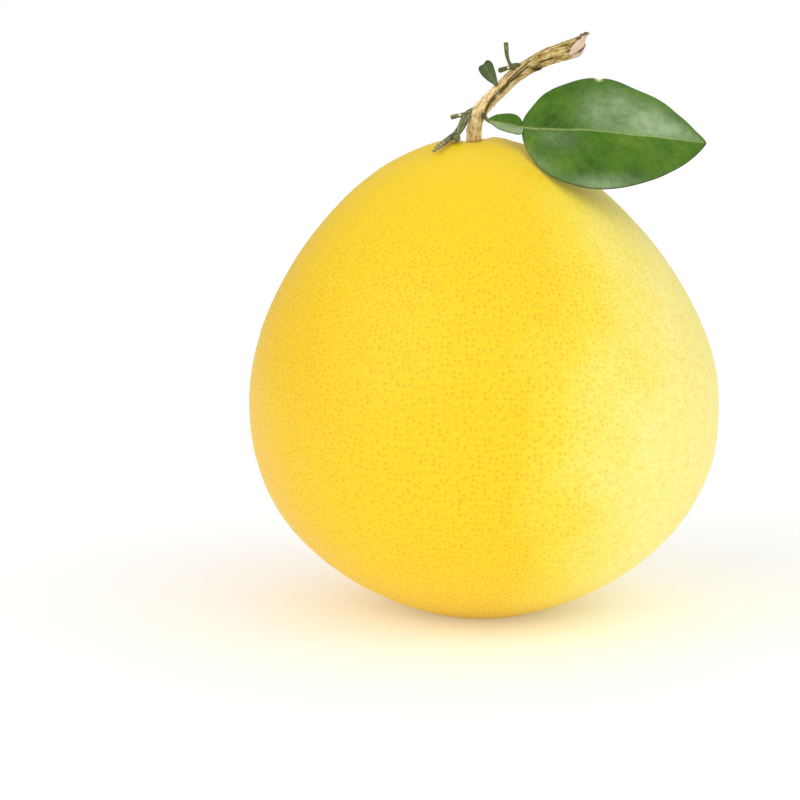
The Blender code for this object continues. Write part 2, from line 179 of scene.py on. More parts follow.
def crown_relief(x, y):
    """Height gained near the stem: a slope and a rim, less a furrow, each a bell curve."""
    furrow = FURROW_DEPTH * np.exp(-(x / FURROW_REACH[0]) ** 2 - (y / FURROW_REACH[1]) ** 2)
    rim = RIM_HEIGHT * np.exp(-((x - RIM_PLACE) ** 2 + y ** 2) / RIM_REACH ** 2)
    slope = CROWN_SLOPE * x * np.exp(-(x ** 2 + y ** 2) / CROWN_REACH ** 2)
    return slope + rim - furrow


def upper_ring(turn):
    """Radius (1 - rise^a)^(1/b) and height of the upper half, turn 0 at the crown, 1 widest."""
    rise = np.cos(math.pi / 2 * turn ** CROWN_CROWDING)
    spread = np.maximum(1 - rise ** UPPER_POWER, 0.0) ** (1 / UPPER_ROUND)
    swell = SHOULDER_SWELL * np.sin(math.pi * np.maximum(rise, 0.0) ** SHOULDER_PLACE) ** 2
    return FRUIT_RADIUS * spread + swell, WIDEST_HEIGHT + (CROWN_HEIGHT - WIDEST_HEIGHT) * rise


def lower_ring(turn):
    """Radius (1 - fall^a)^(1/b) and height of the lower half, turn 0 widest, 1 under it."""
    depth_at_flat = (1 - (FLAT_RADIUS / FRUIT_RADIUS) ** LOWER_ROUND) ** (1 / LOWER_POWER)
    fall = np.sin(math.pi / 2 * np.minimum(turn / (1 - FLAT_SHARE), 1.0))
    side = FRUIT_RADIUS * (1 - (fall * depth_at_flat) ** LOWER_POWER) ** (1 / LOWER_ROUND)
    flat = FLAT_RADIUS * np.minimum((1 - turn) / FLAT_SHARE, 1.0)
    return np.where(turn < 1 - FLAT_SHARE, side, flat), WIDEST_HEIGHT * (1 - fall)


def ripples(points, wavelength, count, seed):
    """A smooth uneven field about 0: the mean of sine waves of one length in seeded directions."""
    draw = np.random.default_rng(seed)
    ways = draw.normal(size=(count, 3))
    ways /= np.linalg.norm(ways, axis=1)[:, None]
    ways *= 2 * math.pi / wavelength * draw.uniform(0.7, 1.4, size=(count, 1))
    phases = draw.uniform(0, 2 * math.pi, size=count)
    return np.sin(points @ ways.T + phases).sum(axis=-1) * math.sqrt(2 / count)


def outward(points):
    """Unit outward directions of a ring grid, from its neighbours' differences."""
    down = np.gradient(points, axis=0)
    wide = np.pad(points, ((0, 0), (1, 1), (0, 0)), mode="wrap")
    across = (wide[:, 2:] - wide[:, :-2]) / 2
    normal = np.cross(down, across)
    return normal / np.maximum(np.linalg.norm(normal, axis=-1, keepdims=True), 1e-12)


def closed_rings(name, rings, start, end, facts=None):
    """A closed mesh from rings of points, each ring closed on itself, with a point at each end.

    rings has shape (rows, columns, 3). facts are named arrays of one number or one vector a
    point, kept as attributes; the end points take the mean of their ring.
    """
    rows, columns = rings.shape[:2]
    verts = np.concatenate([rings.reshape(-1, 3), [start], [end]])
    index = np.arange(rows * columns).reshape(rows, columns)
    after = np.roll(index, -1, axis=1)
    quads = np.stack([index[:-1], index[1:], after[1:], after[:-1]], axis=-1).reshape(-1, 4)
    first, last = rows * columns, rows * columns + 1
    top = np.stack([np.full(columns, first), index[0], after[0]], axis=-1)
    foot = np.stack([np.full(columns, last), after[-1], index[-1]], axis=-1)
    mesh = bpy.data.meshes.new(name)
    mesh.from_pydata(verts.tolist(), [], quads.tolist() + top.tolist() + foot.tolist())
    for fact_name, values in (facts or {}).items():
        ends = [values[0].mean(axis=0, keepdims=True), values[-1].mean(axis=0, keepdims=True)]
        flat = values.reshape(rows * columns, *values.shape[2:])
        keep_fact(mesh, fact_name, np.concatenate([flat, *ends]))
    return placed(name, mesh)


def keep_fact(mesh, fact_name, values):
    """Keep one number or one vector a point on a mesh as a named attribute."""
    wide = values.ndim == 2
    store = mesh.attributes.new(fact_name, "FLOAT_VECTOR" if wide else "FLOAT", "POINT")
    store.data.foreach_set("vector" if wide else "value", values.astype(np.float32).ravel())


def placed(name, mesh):
    """An object at the origin for a finished closed mesh, its faces outward, shaded smooth."""
    mesh.validate()
    shape = bmesh.new()
    shape.from_mesh(mesh)
    if shape.calc_volume(signed=True) < 0:
        mesh.flip_normals()
    shape.free()
    mesh.shade_smooth()
    piece = bpy.data.objects.new(name, mesh)
    bpy.context.scene.collection.objects.link(piece)
    return piece


def finish_piece(piece, material, nodes=()):
    """Give a piece its material and slot, put it on the body, and let it stand for its nodes."""
    piece.data.materials.append(material)
    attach(piece, "root")
    if nodes:
        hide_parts(*nodes)


def ramp(tree, factor, stops, blend="LINEAR"):
    """Colours or greys spread over a factor, as a colour ramp."""
    made = tree.nodes.new("ShaderNodeValToRGB")
    tree.links.new(factor, made.inputs["Fac"])
    made.color_ramp.interpolation = blend
    band = made.color_ramp.elements
    while len(band) < len(stops):
        band.new(0.5)
    for element, (place, colour) in zip(band, stops):
        element.position = place
        element.color = (*colour, 1.0) if isinstance(colour, tuple) else (colour,) * 3 + (1.0,)
    return made.outputs["Color"]


def mixed(tree, factor, first, second):
    """Two colours mixed by a factor; each may be a plain colour or a node's output."""
    first, second = (value if isinstance(value, bpy.types.NodeSocket) else (*value, 1.0)
                     for value in (first, second))
    made = node(tree, "Mix", {0: factor, 6: first, 7: second}, data_type="RGBA")
    return made.outputs[2]


def product(tree, first, second):
    """Two numbers multiplied."""
    return node(tree, "Math", {0: first, 1: second}, operation="MULTIPLY").outputs["Value"]


def clouds(tree, place, scale, detail=3.0, roughness=0.5):
    """Soft cloudy noise at a number of waves a metre."""
    made = node(tree, "TexNoise", {"Vector": place, "Scale": scale, "Detail": detail,
                                   "Roughness": roughness})
    return made.outputs["Fac"]


def bumped(tree, shader, height, distance, strength=1.0, under=None):
    """Relief of a real depth in metres on a shader, over another relief if one is given."""
    made = node(tree, "Bump", {"Height": height, "Distance": distance, "Strength": strength})
    if under is not None:
        tree.links.new(under, made.inputs["Normal"])
    tree.links.new(made.outputs["Normal"], shader.inputs["Normal"])
    return made.outputs["Normal"]


def rind_rings():
    """The skin: the fruit's profile turned round, lumped, swelled and pebbled along its normal."""
    turn = np.arange(1, RIND_ROWS) / RIND_ROWS * 2
    around = np.linspace(0, 2 * math.pi, RIND_COLUMNS, endpoint=False)
    upper, lower = turn[turn <= 1], turn[turn > 1]
    radius, height = np.concatenate([upper_ring(upper), lower_ring(lower - 1)], axis=1)
    fullness = np.sin(math.pi / 2 * turn)[:, None] ** 2
    lump = LUMP * fullness * sum(np.cos(count * around + start) for count, start in LUMP_WAVES)
    wide = radius[:, None] * (1 + lump)
    x, y = wide * np.cos(around), wide * np.sin(around)
    z = height[:, None] + np.where(turn <= 1, 1.0, 0.0)[:, None] * crown_relief(x, y)
    points = settle(np.stack([x, y, z], axis=-1))
    off_foot = np.clip(height[:, None] / FOOT_EASE, 0, 1)
    relief = SWELL_HEIGHT * ripples(points, SWELL_WAVE, count=14, seed=3) * fullness
    relief += PEBBLE_HEIGHT * ripples(points, PEBBLE_WAVE, count=24, seed=5)
    return points + outward(points) * (relief * off_foot)[..., None]


def keep_gland_map(mesh):
    """Flat coordinates for the glands, counted in glands: the skin unfolded like a cube.

    Each face goes with the side of the cube that it looks at. On a side both coordinates are
    angles from its middle, so glands keep their size, and the upright sides join with no seam.
    """
    ends = np.empty(len(mesh.loops), dtype=np.int32)
    mesh.loops.foreach_get("vertex_index", ends)
    counts = np.empty(len(mesh.polygons), dtype=np.int32)
    mesh.polygons.foreach_get("loop_total", counts)
    places = np.empty(3 * len(mesh.vertices))
    mesh.vertices.foreach_get("co", places)
    middles = np.empty(3 * len(mesh.polygons))
    mesh.polygons.foreach_get("center", middles)
    x, y, z = (places.reshape(-1, 3)[ends] - GLAND_CENTRE).T
    mid_x, mid_y, mid_z = np.repeat(middles.reshape(-1, 3) - GLAND_CENTRE, counts, axis=0).T
    side = np.round(np.arctan2(mid_x, -mid_y) / QUARTER) * QUARTER
    upright = (side + np.angle(np.exp(1j * (np.arctan2(x, -y) - side))),
               np.arctan2(z, x * np.sin(side) - y * np.cos(side)))
    sign = np.sign(mid_z)
    level = (np.arctan2(x, sign * z), sign * (QUARTER + np.arctan2(y, sign * z)))
    is_level = np.abs(mid_z) > np.maximum(np.abs(mid_x), np.abs(mid_y))
    flat = np.stack([*np.where(is_level, level, upright), np.zeros(len(x))], axis=-1)
    flat *= FRUIT_RADIUS / GLAND_SPACING
    store = mesh.attributes.new("glands", "FLOAT_VECTOR", "CORNER")
    store.data.foreach_set("vector", flat.astype(np.float32).ravel())


def rind_material():
    """Yellow rind: golden to lemon, partly painted light on the lemon side; each gland a small
    darker pit.
    """
    material, tree, shader = fresh_material("rind_yellow", 0.45, 0.32)
    place = node(tree, "TexCoord").outputs["Object"]
    apart = node(tree, "SeparateXYZ", {"Vector": place})
    # Share from golden to lemon across the fruit; the pale lemon end is partly painted light from
    # the right.
    lemon_and_lit_share = rescaled(tree, apart.outputs["X"], GOLDEN_X, LEMON_AND_LIT_X)
    patches = rescaled(tree, clouds(tree, place, 16.0, 4.0, 0.6), 0.3, 0.7,
                       -PATCH_STRENGTH, PATCH_STRENGTH)
    tint_and_painted_light = node(tree, "Math", {0: lemon_and_lit_share, 1: patches}, operation="ADD").outputs["Value"]
    fleck = ramp(tree, clouds(tree, place, 420.0, 2.0), ((0.45, 0.0), (0.75, 0.30)))
    skin = mixed(tree, fleck, ramp(tree, tint_and_painted_light, RIND_TINTS_AND_PAINTED_LIGHT), FLECK_COLOUR)
    cells = node(tree, "Attribute", attribute_name="glands").outputs["Vector"]
    bend = node(tree, "TexNoise", {"Vector": cells, "Scale": 0.20, "Detail": 1.0})
    pushed = node(tree, "VectorMath", {0: bend.outputs["Color"], "Scale": 1.1},
                  operation="SCALE").outputs["Vector"]
    cells = node(tree, "VectorMath", {0: cells, 1: pushed}, operation="ADD").outputs["Vector"]
    gland = node(tree, "TexVoronoi", {"Vector": cells, "Scale": 1.0, "Randomness": 0.76},
                 voronoi_dimensions="2D")
    pit = ramp(tree, gland.outputs["Distance"], ((0.08, 1.0), (0.42, 0.0)), "EASE")
    chance = node(tree, "SeparateColor", {"Color": gland.outputs["Color"]}).outputs["Red"]
    own = rescaled(tree, chance, 0.0, 1.0, 0.35, 1.0)
    smoother = rescaled(tree, apart.outputs["Z"], SMOOTH_FROM, SMOOTH_TO, 1.0, 0.15)
    # The dots fade on the pale lemon side, where part of the paleness is painted light.
    fainter_where_paler_and_lit = rescaled(tree, tint_and_painted_light, 0.57, 0.84, 1.0, 0.30)
    weight = product(tree, product(tree, product(tree, pit, own), smoother), fainter_where_paler_and_lit)
    dotted = mixed(tree, product(tree, weight, PIT_SHARE), skin, PIT_COLOUR)
    tree.links.new(dotted, shader.inputs["Base Color"])
    fine = bumped(tree, shader, clouds(tree, place, 900.0, 2.0), 0.05 * MM, 0.4)
    sunk = node(tree, "Math", {0: 1.0, 1: weight}, operation="SUBTRACT").outputs["Value"]
    bumped(tree, shader, sunk, PIT_DEPTH, 0.8, fine)
    shader.inputs["Coat Weight"].default_value = 0.07
    shader.inputs["Coat Roughness"].default_value = 0.30
    return material


rind_grid = rind_rings()
crown_point = settle(np.array([0.0, 0.0, CROWN_HEIGHT + crown_relief(0.0, 0.0)]))
rind = closed_rings("rind", rind_grid, crown_point, np.zeros(3))
keep_gland_map(rind.data)
finish_piece(rind, rind_material(), ["fruit"])


# The calyx: the green button of five short woody lobes that sits in the dimple and ties the
# fruit to its twig. It follows the skin under it and has fine ridges running outwards.
CALYX_RADIUS = 3.2 * MM
CALYX_THICKNESS = 0.45 * MM
CALYX_GAP = 0.05 * MM
CALYX_LOBES, LOBE_DEPTH = 5, 0.10
CALYX_FRILLS, FRILL_DEPTH = 13, 0.03
CALYX_RIDGES, CALYX_RIDGE_HEIGHT = 35, 0.05 * MM
GREEN_REACH, YELLOW_FROM = 2.4 * MM, 3.6 * MM


def crown_height(x, y):
    """Height of the crown's skin at a place near the stem."""
    rise = (1 - (np.hypot(x, y) / FRUIT_RADIUS) ** UPPER_ROUND) ** (1 / UPPER_POWER)
    return WIDEST_HEIGHT + (CROWN_HEIGHT - WIDEST_HEIGHT) * rise + crown_relief(x, y)


def calyx_rings(rows=40, columns=210):
    """A lobed lens on the skin: radius by the sine, and thickness by the cosine, of one turn."""
    turn = (np.arange(rows) + 0.5) / rows * math.pi
    around = np.linspace(0, 2 * math.pi, columns, endpoint=False)
    lobes = (1 + LOBE_DEPTH * np.cos(CALYX_LOBES * around)
             + FRILL_DEPTH * np.cos(CALYX_FRILLS * around))
    radius = CALYX_RADIUS * np.sin(turn)[:, None] * lobes
    above = np.maximum(np.cos(turn), 0.0)[:, None]
    ridge = CALYX_RIDGE_HEIGHT * np.cos(CALYX_RIDGES * around) * np.sin(2 * turn)[:, None]
    x, y = radius * np.cos(around), radius * np.sin(around)
    height = crown_height(x, y) + CALYX_GAP + CALYX_THICKNESS * above
    return settle(np.stack([x, y, height + np.where(above > 0, ridge, 0.0)], axis=-1))


def calyx_material(middle):
    """Olive green beside the twig and as yellow as the rind at its edge, with brown flecks."""
    material, tree, shader = fresh_material("calyx_green", 0.75, 0.3)
    place = node(tree, "TexCoord").outputs["Object"]
    patch = clouds(tree, place, 700.0, 4.0, 0.6)
    inner = ramp(tree, patch, ((0.32, (0.14, 0.10, 0.025)), (0.55, (0.26, 0.24, 0.05)),
                               (0.75, (0.42, 0.38, 0.09))))
    outer = ramp(tree, patch, ((0.30, (0.62, 0.42, 0.020)), (0.60, (0.84, 0.60, 0.025))))
    gap = node(tree, "VectorMath", {0: place, 1: middle}, operation="DISTANCE")
    away = rescaled(tree, gap.outputs["Value"], GREEN_REACH, YELLOW_FROM)
    tree.links.new(mixed(tree, away, inner, outer), shader.inputs["Base Color"])
    bumped(tree, shader, clouds(tree, place, 2600.0, 3.0), 0.10 * MM, 0.7)
    return material


calyx_grid = calyx_rings()
calyx_top, calyx_foot = calyx_grid[0].mean(axis=0), calyx_grid[-1].mean(axis=0)
calyx = closed_rings("calyx_button", calyx_grid, calyx_top, calyx_foot)
finish_piece(calyx, calyx_material(tuple(calyx_top)), ["calyx"])


# The twig: a cut length of last year's wood, 5 mm thick, tan bark with fine broken ridges and
# olive grooves, bent over to the right. It was cut on the slant, which left a lip and a tip.
TWIG_ROUTE = np.array((
    (-2.8, 0.4, 154.8), (-2.7, 0.4, 157.6), (-2.6, 0.8, 160.2), (-1.6, 1.4, 164.5),
    (1.6, 2.0, 168.5), (5.2, 2.6, 172.0), (8.5, 3.2, 175.4), (11.8, 3.9, 178.1),
    (15.6, 4.5, 180.5), (19.9, 5.0, 182.8), (24.1, 5.5, 184.4), (27.7, 5.9, 185.5),
    (30.9, 6.1, 186.6), (34.2, 6.3, 188.1), (37.8, 6.5, 189.9))) * MM
TWIG_RADIUS = 2.5 * MM
TWIG_RADII = np.array((2.55, 2.5, 2.45, 2.4, 2.4, 2.35, 2.4, 2.45, 2.5, 2.7, 2.9, 3.05, 3.1,
                       3.0, 2.8)) * MM
CUT_CENTRE = np.array((31.4, 6.0, 186.5)) * MM
CUT_NORMAL = np.array((0.75, -0.59, -0.29))
BARK_THICKNESS, LIP_THICKNESS = 0.32 * MM, 0.95 * MM
RIM_INSET, RIM_STEP = 0.45, 0.05 * MM
FACE_DEPTH = 0.30 * MM
FACE_SINK, FACE_EDGE, FACE_BACK = 1.5 * FACE_DEPTH, 0.4 * FACE_DEPTH, 0.1 * MM
FACE_RINGS = (1.0, 0.93, 0.80, 0.62, 0.45, 0.25, 0.1)
FACE_DOME, FACE_GRAIN, FACE_WAVE = 0.16 * MM, 0.05 * MM, 1.0 * MM
RAGGED, LIP_CALM, TIP_CALM = 0.20 * MM, 0.8, 0.5
RAG_WAVES = ((9, 1.0, 1.0), (23, 0.0, 1.0), (41, 0.0, 0.7))  # count, start and share of each
FRAY_WAVES = ((11, 0.0, 0.45), (29, 1.0, 0.35))
FRAY_LEVEL, INNER_SHADE = 1.05, 0.15
LIP_REACH, LIP_PLACE, LIP_WIDTH, LIP_PALE = 1.0 * MM, 1.95, 0.75, 1.1 * MM
FRAY_PLACE, FRAY_WIDTH, FRAY_REACH = -0.60, 1.25, 0.80 * MM
SPLIT_PLACE, SPLIT_WIDTH = 2.45, 0.50
TIP_REACH, TIP_PLACE, TIP_WIDTH = 0.5 * MM, -1.55, 0.80
TIP_THICKNESS = 0.45 * MM
BITE_REACH, BITE_PLACE, BITE_WIDTH = 1.3 * MM, -2.80, 0.50
TWIG_ROWS, TWIG_COLUMNS = 420, 180
TWIG_FRONT = np.array((0.0, -1.0, 0.0))
KNOTS = (  # share of the length, angle from the front, height and width in mm, and darkness
    (0.176, 0.90, 0.65, 1.4, 0.8), (0.215, 0.25, 0.32, 0.7, 0.0), (0.212, 0.03, 0.28, 0.5, 0.0),
    (0.203, 0.61, 0.25, 0.4, 0.6), (0.602, 0.76, 0.80, 0.9, 1.0), (0.624, 0.92, 0.75, 0.8, 1.0),
    (0.585, 0.48, 0.20, 0.5, 0.9), (0.088, -0.21, -0.05, 0.4, 0.5), (0.090, 0.42, -0.05, 0.4, 0.5),
    (0.083, 0.87, -0.05, 0.4, 0.5), (0.047, -0.44, -0.05, 0.4, 0.4), (0.043, 0.24, 0.0, 0.4, 0.4),
    (0.496, -0.86, 0.35, 1.8, 0.0), (0.167, -1.03, 0.45, 1.9, 0.0),
    (0.345, -0.93, 0.30, 1.3, 0.0), (0.925, -1.30, 0.40, 0.6, 0.9),
    (0.948, -1.75, 0.40, 0.7, 0.9), (0.870, 1.45, 0.45, 1.6, 0.0), (0.900, 1.90, 0.40, 1.5, 0.0))
KNOT_STAIN = 1.8
GROOVES = (  # share of the length, angle from the front, and half width as an angle
    ((0.185, 0.85, 0.16), (0.227, 0.56, 0.30), (0.267, 0.26, 0.33), (0.311, 0.18, 0.38),
     (0.365, 0.20, 0.38), (0.420, 0.23, 0.30), (0.470, 0.24, 0.22), (0.520, 0.08, 0.15),
     (0.552, 0.02, 0.10), (0.600, 0.10, 0.06)),
    ((0.400, -0.05, 0.05), (0.438, -0.16, 0.12), (0.495, -0.23, 0.11), (0.531, -0.31, 0.09),
     (0.565, -0.45, 0.08), (0.595, -0.56, 0.06), (0.640, -0.62, 0.04)),
    ((0.590, 0.30, 0.06), (0.623, 0.25, 0.10), (0.654, 0.31, 0.12), (0.690, 0.37, 0.10),
     (0.740, 0.36, 0.05)))
GROOVE_DEPTH, GROOVE_FADE = 0.34 * MM, 0.02
GROOVE_LEVEL, GROOVE_UNEVEN, GROOVE_WAVE = 1.25, 0.35, 2.4 * MM
BARK_GRAIN, BARK_WAVE = 0.05 * MM, 1.3 * MM
RIDGE_DRIFTS, RIDGE_FADES, RIDGE_TWIST = (7.0, 12.0), (3.0, 6.0), 60.0
OLD_FROM, OLD_REACH = 0.34, 0.24
STREAK_STRETCH = 0.18


def smooth_line(route, count):
    """Points along the smooth cubic through a route: each span blends its four nearest points."""
    padded = np.concatenate([route[:1], route, route[-1:]])
    place = np.linspace(0, len(route) - 1, count)
    span = np.minimum(place.astype(int), len(route) - 2)
    t = (place - span)[:, None]
    p0, p1, p2, p3 = (padded[span + step] for step in range(4))
    return 0.5 * (2 * p1 + (p2 - p0) * t + (2 * p0 - 5 * p1 + 4 * p2 - p3) * t ** 2
                  + (3 * p1 - p0 - 3 * p2 + p3) * t ** 3)


def across_ways(line, front):
    """Two unit directions across a line at each point: nearest the front way, and beside it."""
    ahead = np.gradient(line, axis=0)
    ahead /= np.linalg.norm(ahead, axis=1, keepdims=True)
    near = front - ahead * (ahead @ front)[:, None]
    near /= np.linalg.norm(near, axis=1, keepdims=True)
    return near, np.cross(ahead, near)


def swept(line, radii, around, front):
    """Rings round a line: radii may change along and around; around 0 faces the front way."""
    near, beside = across_ways(line, front)
    wheel = near[:, None] * np.cos(around)[:, None] + beside[:, None] * np.sin(around)[:, None]
    return line[:, None] + wheel * radii[..., None], wheel


def along_length(line):
    """Distance along a line of points, from 0."""
    steps = np.linalg.norm(np.diff(line, axis=0), axis=1)
    return np.concatenate([[0.0], np.cumsum(steps)])


def bark_relief(length, around, seed, ridges=(9, 13, 17, 23), height=0.10 * MM):
    """Broken ridges along the bark: waves round the twig that drift and fade along it."""
    draw = np.random.default_rng(seed)
    total = np.zeros((len(length), len(around)))
    for count in ridges:
        drift = 0.5 * np.sin(length * 2 * math.pi / (draw.uniform(*RIDGE_DRIFTS) * MM)
                             + draw.uniform(0, 6))
        drift = drift + length * draw.uniform(-RIDGE_TWIST, RIDGE_TWIST)
        fade = 0.55 + 0.45 * np.sin(length * 2 * math.pi / (draw.uniform(*RIDGE_FADES) * MM)
                                    + draw.uniform(0, 6))
        wave = np.cos(count * around + drift[:, None] + draw.uniform(0, 6))
        total += np.sign(wave) * np.abs(wave) ** 0.7 * fade[:, None]
    return height * total / len(ridges)


def straightened(length, around, radius):
    """A bar's points as if it were straight: across, across and along, for its patterns."""
    rows, columns = len(length), len(around)
    return np.stack([np.broadcast_to(radius * np.cos(around), (rows, columns)),
                     np.broadcast_to(radius * np.sin(around), (rows, columns)),
                     np.broadcast_to(length[:, None], (rows, columns))], axis=-1)


def knot_marks(points, length, around, knots):
    """Height and darkness near each knot: bell curves of the distance to it."""
    height, dark = np.zeros(points.shape[:2]), np.zeros(points.shape[:2])
    for share, angle, rise, width, shade in knots:
        row = np.abs(length / length[-1] - share).argmin()
        column = np.abs(turned_gap(around, angle)).argmin()
        near = np.exp(-(np.linalg.norm(points - points[row, column], axis=-1)
                        / (width * MM)) ** 2)
        height += rise * MM * near
        dark = np.maximum(dark, shade * np.minimum(KNOT_STAIN * near, 1.0))
    return height, dark


def turned_gap(around, place):
    """Angle from a place round the twig, between half a turn back and half a turn on."""
    return np.angle(np.exp(1j * (around - place)))


def groove_share(length, around):
    """How deep each spot lies in a groove, 0 to 1: a bell curve across each groove's track."""
    share = length / length[-1]
    deepest = np.zeros((len(length), len(around)))
    for track in GROOVES:
        places, angles, widths = np.array(track).T
        middle, width = np.interp(share, places, angles), np.interp(share, places, widths)
        inside = (np.clip((share - places[0]) / GROOVE_FADE, 0, 1)
                  * np.clip((places[-1] - share) / GROOVE_FADE, 0, 1))
        gap = turned_gap(around[None], middle[:, None]) / width[:, None]
        deepest = np.maximum(deepest, np.exp(-gap ** 4) * inside[:, None])
    return deepest


def twig_surface():
    """The bark as if uncut: rings round the bent line, with ridges, knots and grooves."""
    around = np.linspace(0, 2 * math.pi, TWIG_COLUMNS, endpoint=False)
    line = smooth_line(TWIG_ROUTE, TWIG_ROWS)
    length = along_length(line)
    steps = np.arange(len(TWIG_RADII), dtype=float)
    radii = smooth_line(np.stack([steps, TWIG_RADII], axis=-1), TWIG_ROWS)[:, 1]
    plain, wheel = swept(line, np.repeat(radii[:, None], TWIG_COLUMNS, axis=1), around,
                         TWIG_FRONT)
    groove = groove_share(length, around)
    broken = GROOVE_LEVEL + GROOVE_UNEVEN * ripples(plain, GROOVE_WAVE, count=16, seed=13)
    groove = groove * np.clip(broken, 0, 1)
    swell, dark = knot_marks(plain, length, around, KNOTS)
    relief = bark_relief(length, around, seed=11) - GROOVE_DEPTH * groove + swell
    relief += BARK_GRAIN * ripples(plain, BARK_WAVE, count=20, seed=7)
    age = np.clip((length / length[-1] - OLD_FROM) / OLD_REACH, 0, 1)[:, None] + 0 * groove
    facts = {"groove": groove, "dark": dark, "age": age,
             "unbent": straightened(length, around, TWIG_RADIUS)}
    return plain + wheel * relief[..., None], wheel, around, facts


def stop_at_cut(values, stops):
    """Each column of a grid of rows, resampled so that its last row lies at its own stop."""
    rows, columns = values.shape[:2]
    place = np.linspace(0, 1, rows)[:, None] * stops[None]
    low = np.clip(place.astype(int), 0, rows - 2)
    share = place - low
    column = np.broadcast_to(np.arange(columns), place.shape)
    if values.ndim == 3:
        share = share[..., None]
    return values[low, column] * (1 - share) + values[low + 1, column] * share


def lip_share(around):
    """How far each line of bark belongs to the lip, 1 in its middle and 0 away from it."""
    return np.exp(-(turned_gap(around, LIP_PLACE) / LIP_WIDTH) ** 4)


def tip_share(around):
    """How far each line of bark belongs to the tip, 1 in its middle and 0 away from it."""
    return np.exp(-(turned_gap(around, TIP_PLACE) / TIP_WIDTH) ** 2)


def wave_sum(around, waves):
    """The sum of a few sine waves round the twig, each with its count, its start and its share."""
    return sum(share * np.sin(count * around + start) for count, start, share in waves)


def cut_rows(points, around):
    """The row at which each line of bark and of wood ends: the cut, bitten, lipped and ragged."""
    side = (points - CUT_CENTRE) @ CUT_NORMAL
    row_length = np.linalg.norm(np.diff(points, axis=0), axis=-1).mean()
    crossing = (side > 0).argmax(axis=0).astype(float)
    bite = BITE_REACH * np.exp(-(turned_gap(around, BITE_PLACE) / BITE_WIDTH) ** 2)
    tip = tip_share(around)
    wood_stop = crossing - bite / row_length
    rags = RAGGED * wave_sum(around, RAG_WAVES)
    lip = lip_share(around)
    reach = LIP_REACH * lip + TIP_REACH * tip + rags * (1 - LIP_CALM * lip - TIP_CALM * tip)
    return wood_stop + reach / row_length, wood_stop


def bark_material(name, stops, scale, old_stops=None):
    """Bark: light and brown by broken streaks along it, dark in its furrows, other when old."""
    material, tree, shader = fresh_material(name, 0.78, 0.25)
    unbent = node(tree, "Attribute", attribute_name="unbent").outputs["Vector"]
    long = node(tree, "Mapping", {"Vector": unbent,
                                  "Scale": (1.0, 1.0, STREAK_STRETCH)}).outputs["Vector"]
    streak = clouds(tree, long, scale, 5.0, 0.65)
    colour = ramp(tree, streak, stops)
    if old_stops:
        age = node(tree, "Attribute", attribute_name="age").outputs["Fac"]
        colour = mixed(tree, age, colour, ramp(tree, streak, old_stops))
    crack = node(tree, "TexVoronoi", {"Vector": long, "Scale": scale * 0.9},
                 feature="DISTANCE_TO_EDGE").outputs["Distance"]
    seam = ramp(tree, crack, ((0.02, 0.45), (0.12, 0.0)))
    colour = mixed(tree, seam, colour, tuple(0.45 * c for c in stops[0][1]))
    tree.links.new(colour, shader.inputs["Base Color"])
    under = bumped(tree, shader, streak, 0.22 * MM, 0.7)
    bumped(tree, shader, crack, 0.14 * MM, 0.5, under)
    return material


def wood_material():
    """Pale pinkish cut wood, streaked along the knife's way."""
    material, tree, shader = fresh_material("cut_wood", 0.62, 0.3)
    place = node(tree, "TexCoord").outputs["Object"]
    long = node(tree, "Mapping", {"Vector": place, "Rotation": (0.0, math.radians(-52), 0.0),
                                  "Scale": (0.25, 1.0, 1.0)}).outputs["Vector"]
    grain = clouds(tree, long, 2400.0, 4.0, 0.6)
    colour = ramp(tree, grain, ((0.3, (0.72, 0.48, 0.32)), (0.5, (0.85, 0.63, 0.47)),
                                (0.7, (0.94, 0.79, 0.66))))
    tree.links.new(colour, shader.inputs["Base Color"])
    bumped(tree, shader, grain, 0.10 * MM, 0.3)
    return material


def build_twig():
    """The bark down to its ragged rim and back inside it, and the wood face within."""
    points, wheel, around, facts = twig_surface()
    stops, wood_stops = cut_rows(points, around)
    outer = stop_at_cut(points, stops)
    inner_wheel = stop_at_cut(wheel, stops)[-1]
    ahead = outer[-1] - outer[-6]
    ahead /= np.linalg.norm(ahead, axis=1, keepdims=True)
    lip = lip_share(around)
    thickness = (BARK_THICKNESS + LIP_THICKNESS * lip
                 + TIP_THICKNESS * tip_share(around))[:, None]
    rim = outer[-1] - inner_wheel * thickness * RIM_INSET + ahead * RIM_STEP
    inside = outer[-1] - inner_wheel * thickness
    face_edge = stop_at_cut(points, wood_stops)[-1] - inner_wheel * thickness
    sunk = face_edge - ahead * FACE_SINK
    centre = sunk.mean(axis=0)
    rings = np.concatenate([outer, rim[None], inside[None], sunk[None]])
    to_end = np.linalg.norm(outer - outer[-1], axis=-1)
    bark_facts = rim_facts(around, to_end, lip)
    for fact_name, values in facts.items():
        values = stop_at_cut(values, stops)
        inner = np.zeros((3,) + values.shape[1:])
        if fact_name == "unbent":
            inner = values[-1:] + np.arange(1, 4)[:, None, None] * MM
        bark_facts[fact_name] = np.concatenate([values, inner])
    bark = closed_rings("twig_bark", rings, outer[0].mean(axis=0), centre, bark_facts)
    wood_rim = face_edge - ahead * FACE_EDGE
    share = np.array(FACE_RINGS)[:, None, None]
    face = wood_rim.mean(axis=0) + (wood_rim - wood_rim.mean(axis=0)) * share
    grain = FACE_GRAIN * ripples(face, FACE_WAVE, count=16, seed=9)[..., None]
    face += CUT_NORMAL / np.linalg.norm(CUT_NORMAL) * (FACE_DOME * (1 - share ** 2) + grain)
    back = (sunk - ahead * FACE_BACK)[None]
    wood = closed_rings("twig_wood", np.concatenate([back, face]),
                        centre - ahead.mean(axis=0) * FACE_BACK, face[-1].mean(axis=0))
    return bark, wood


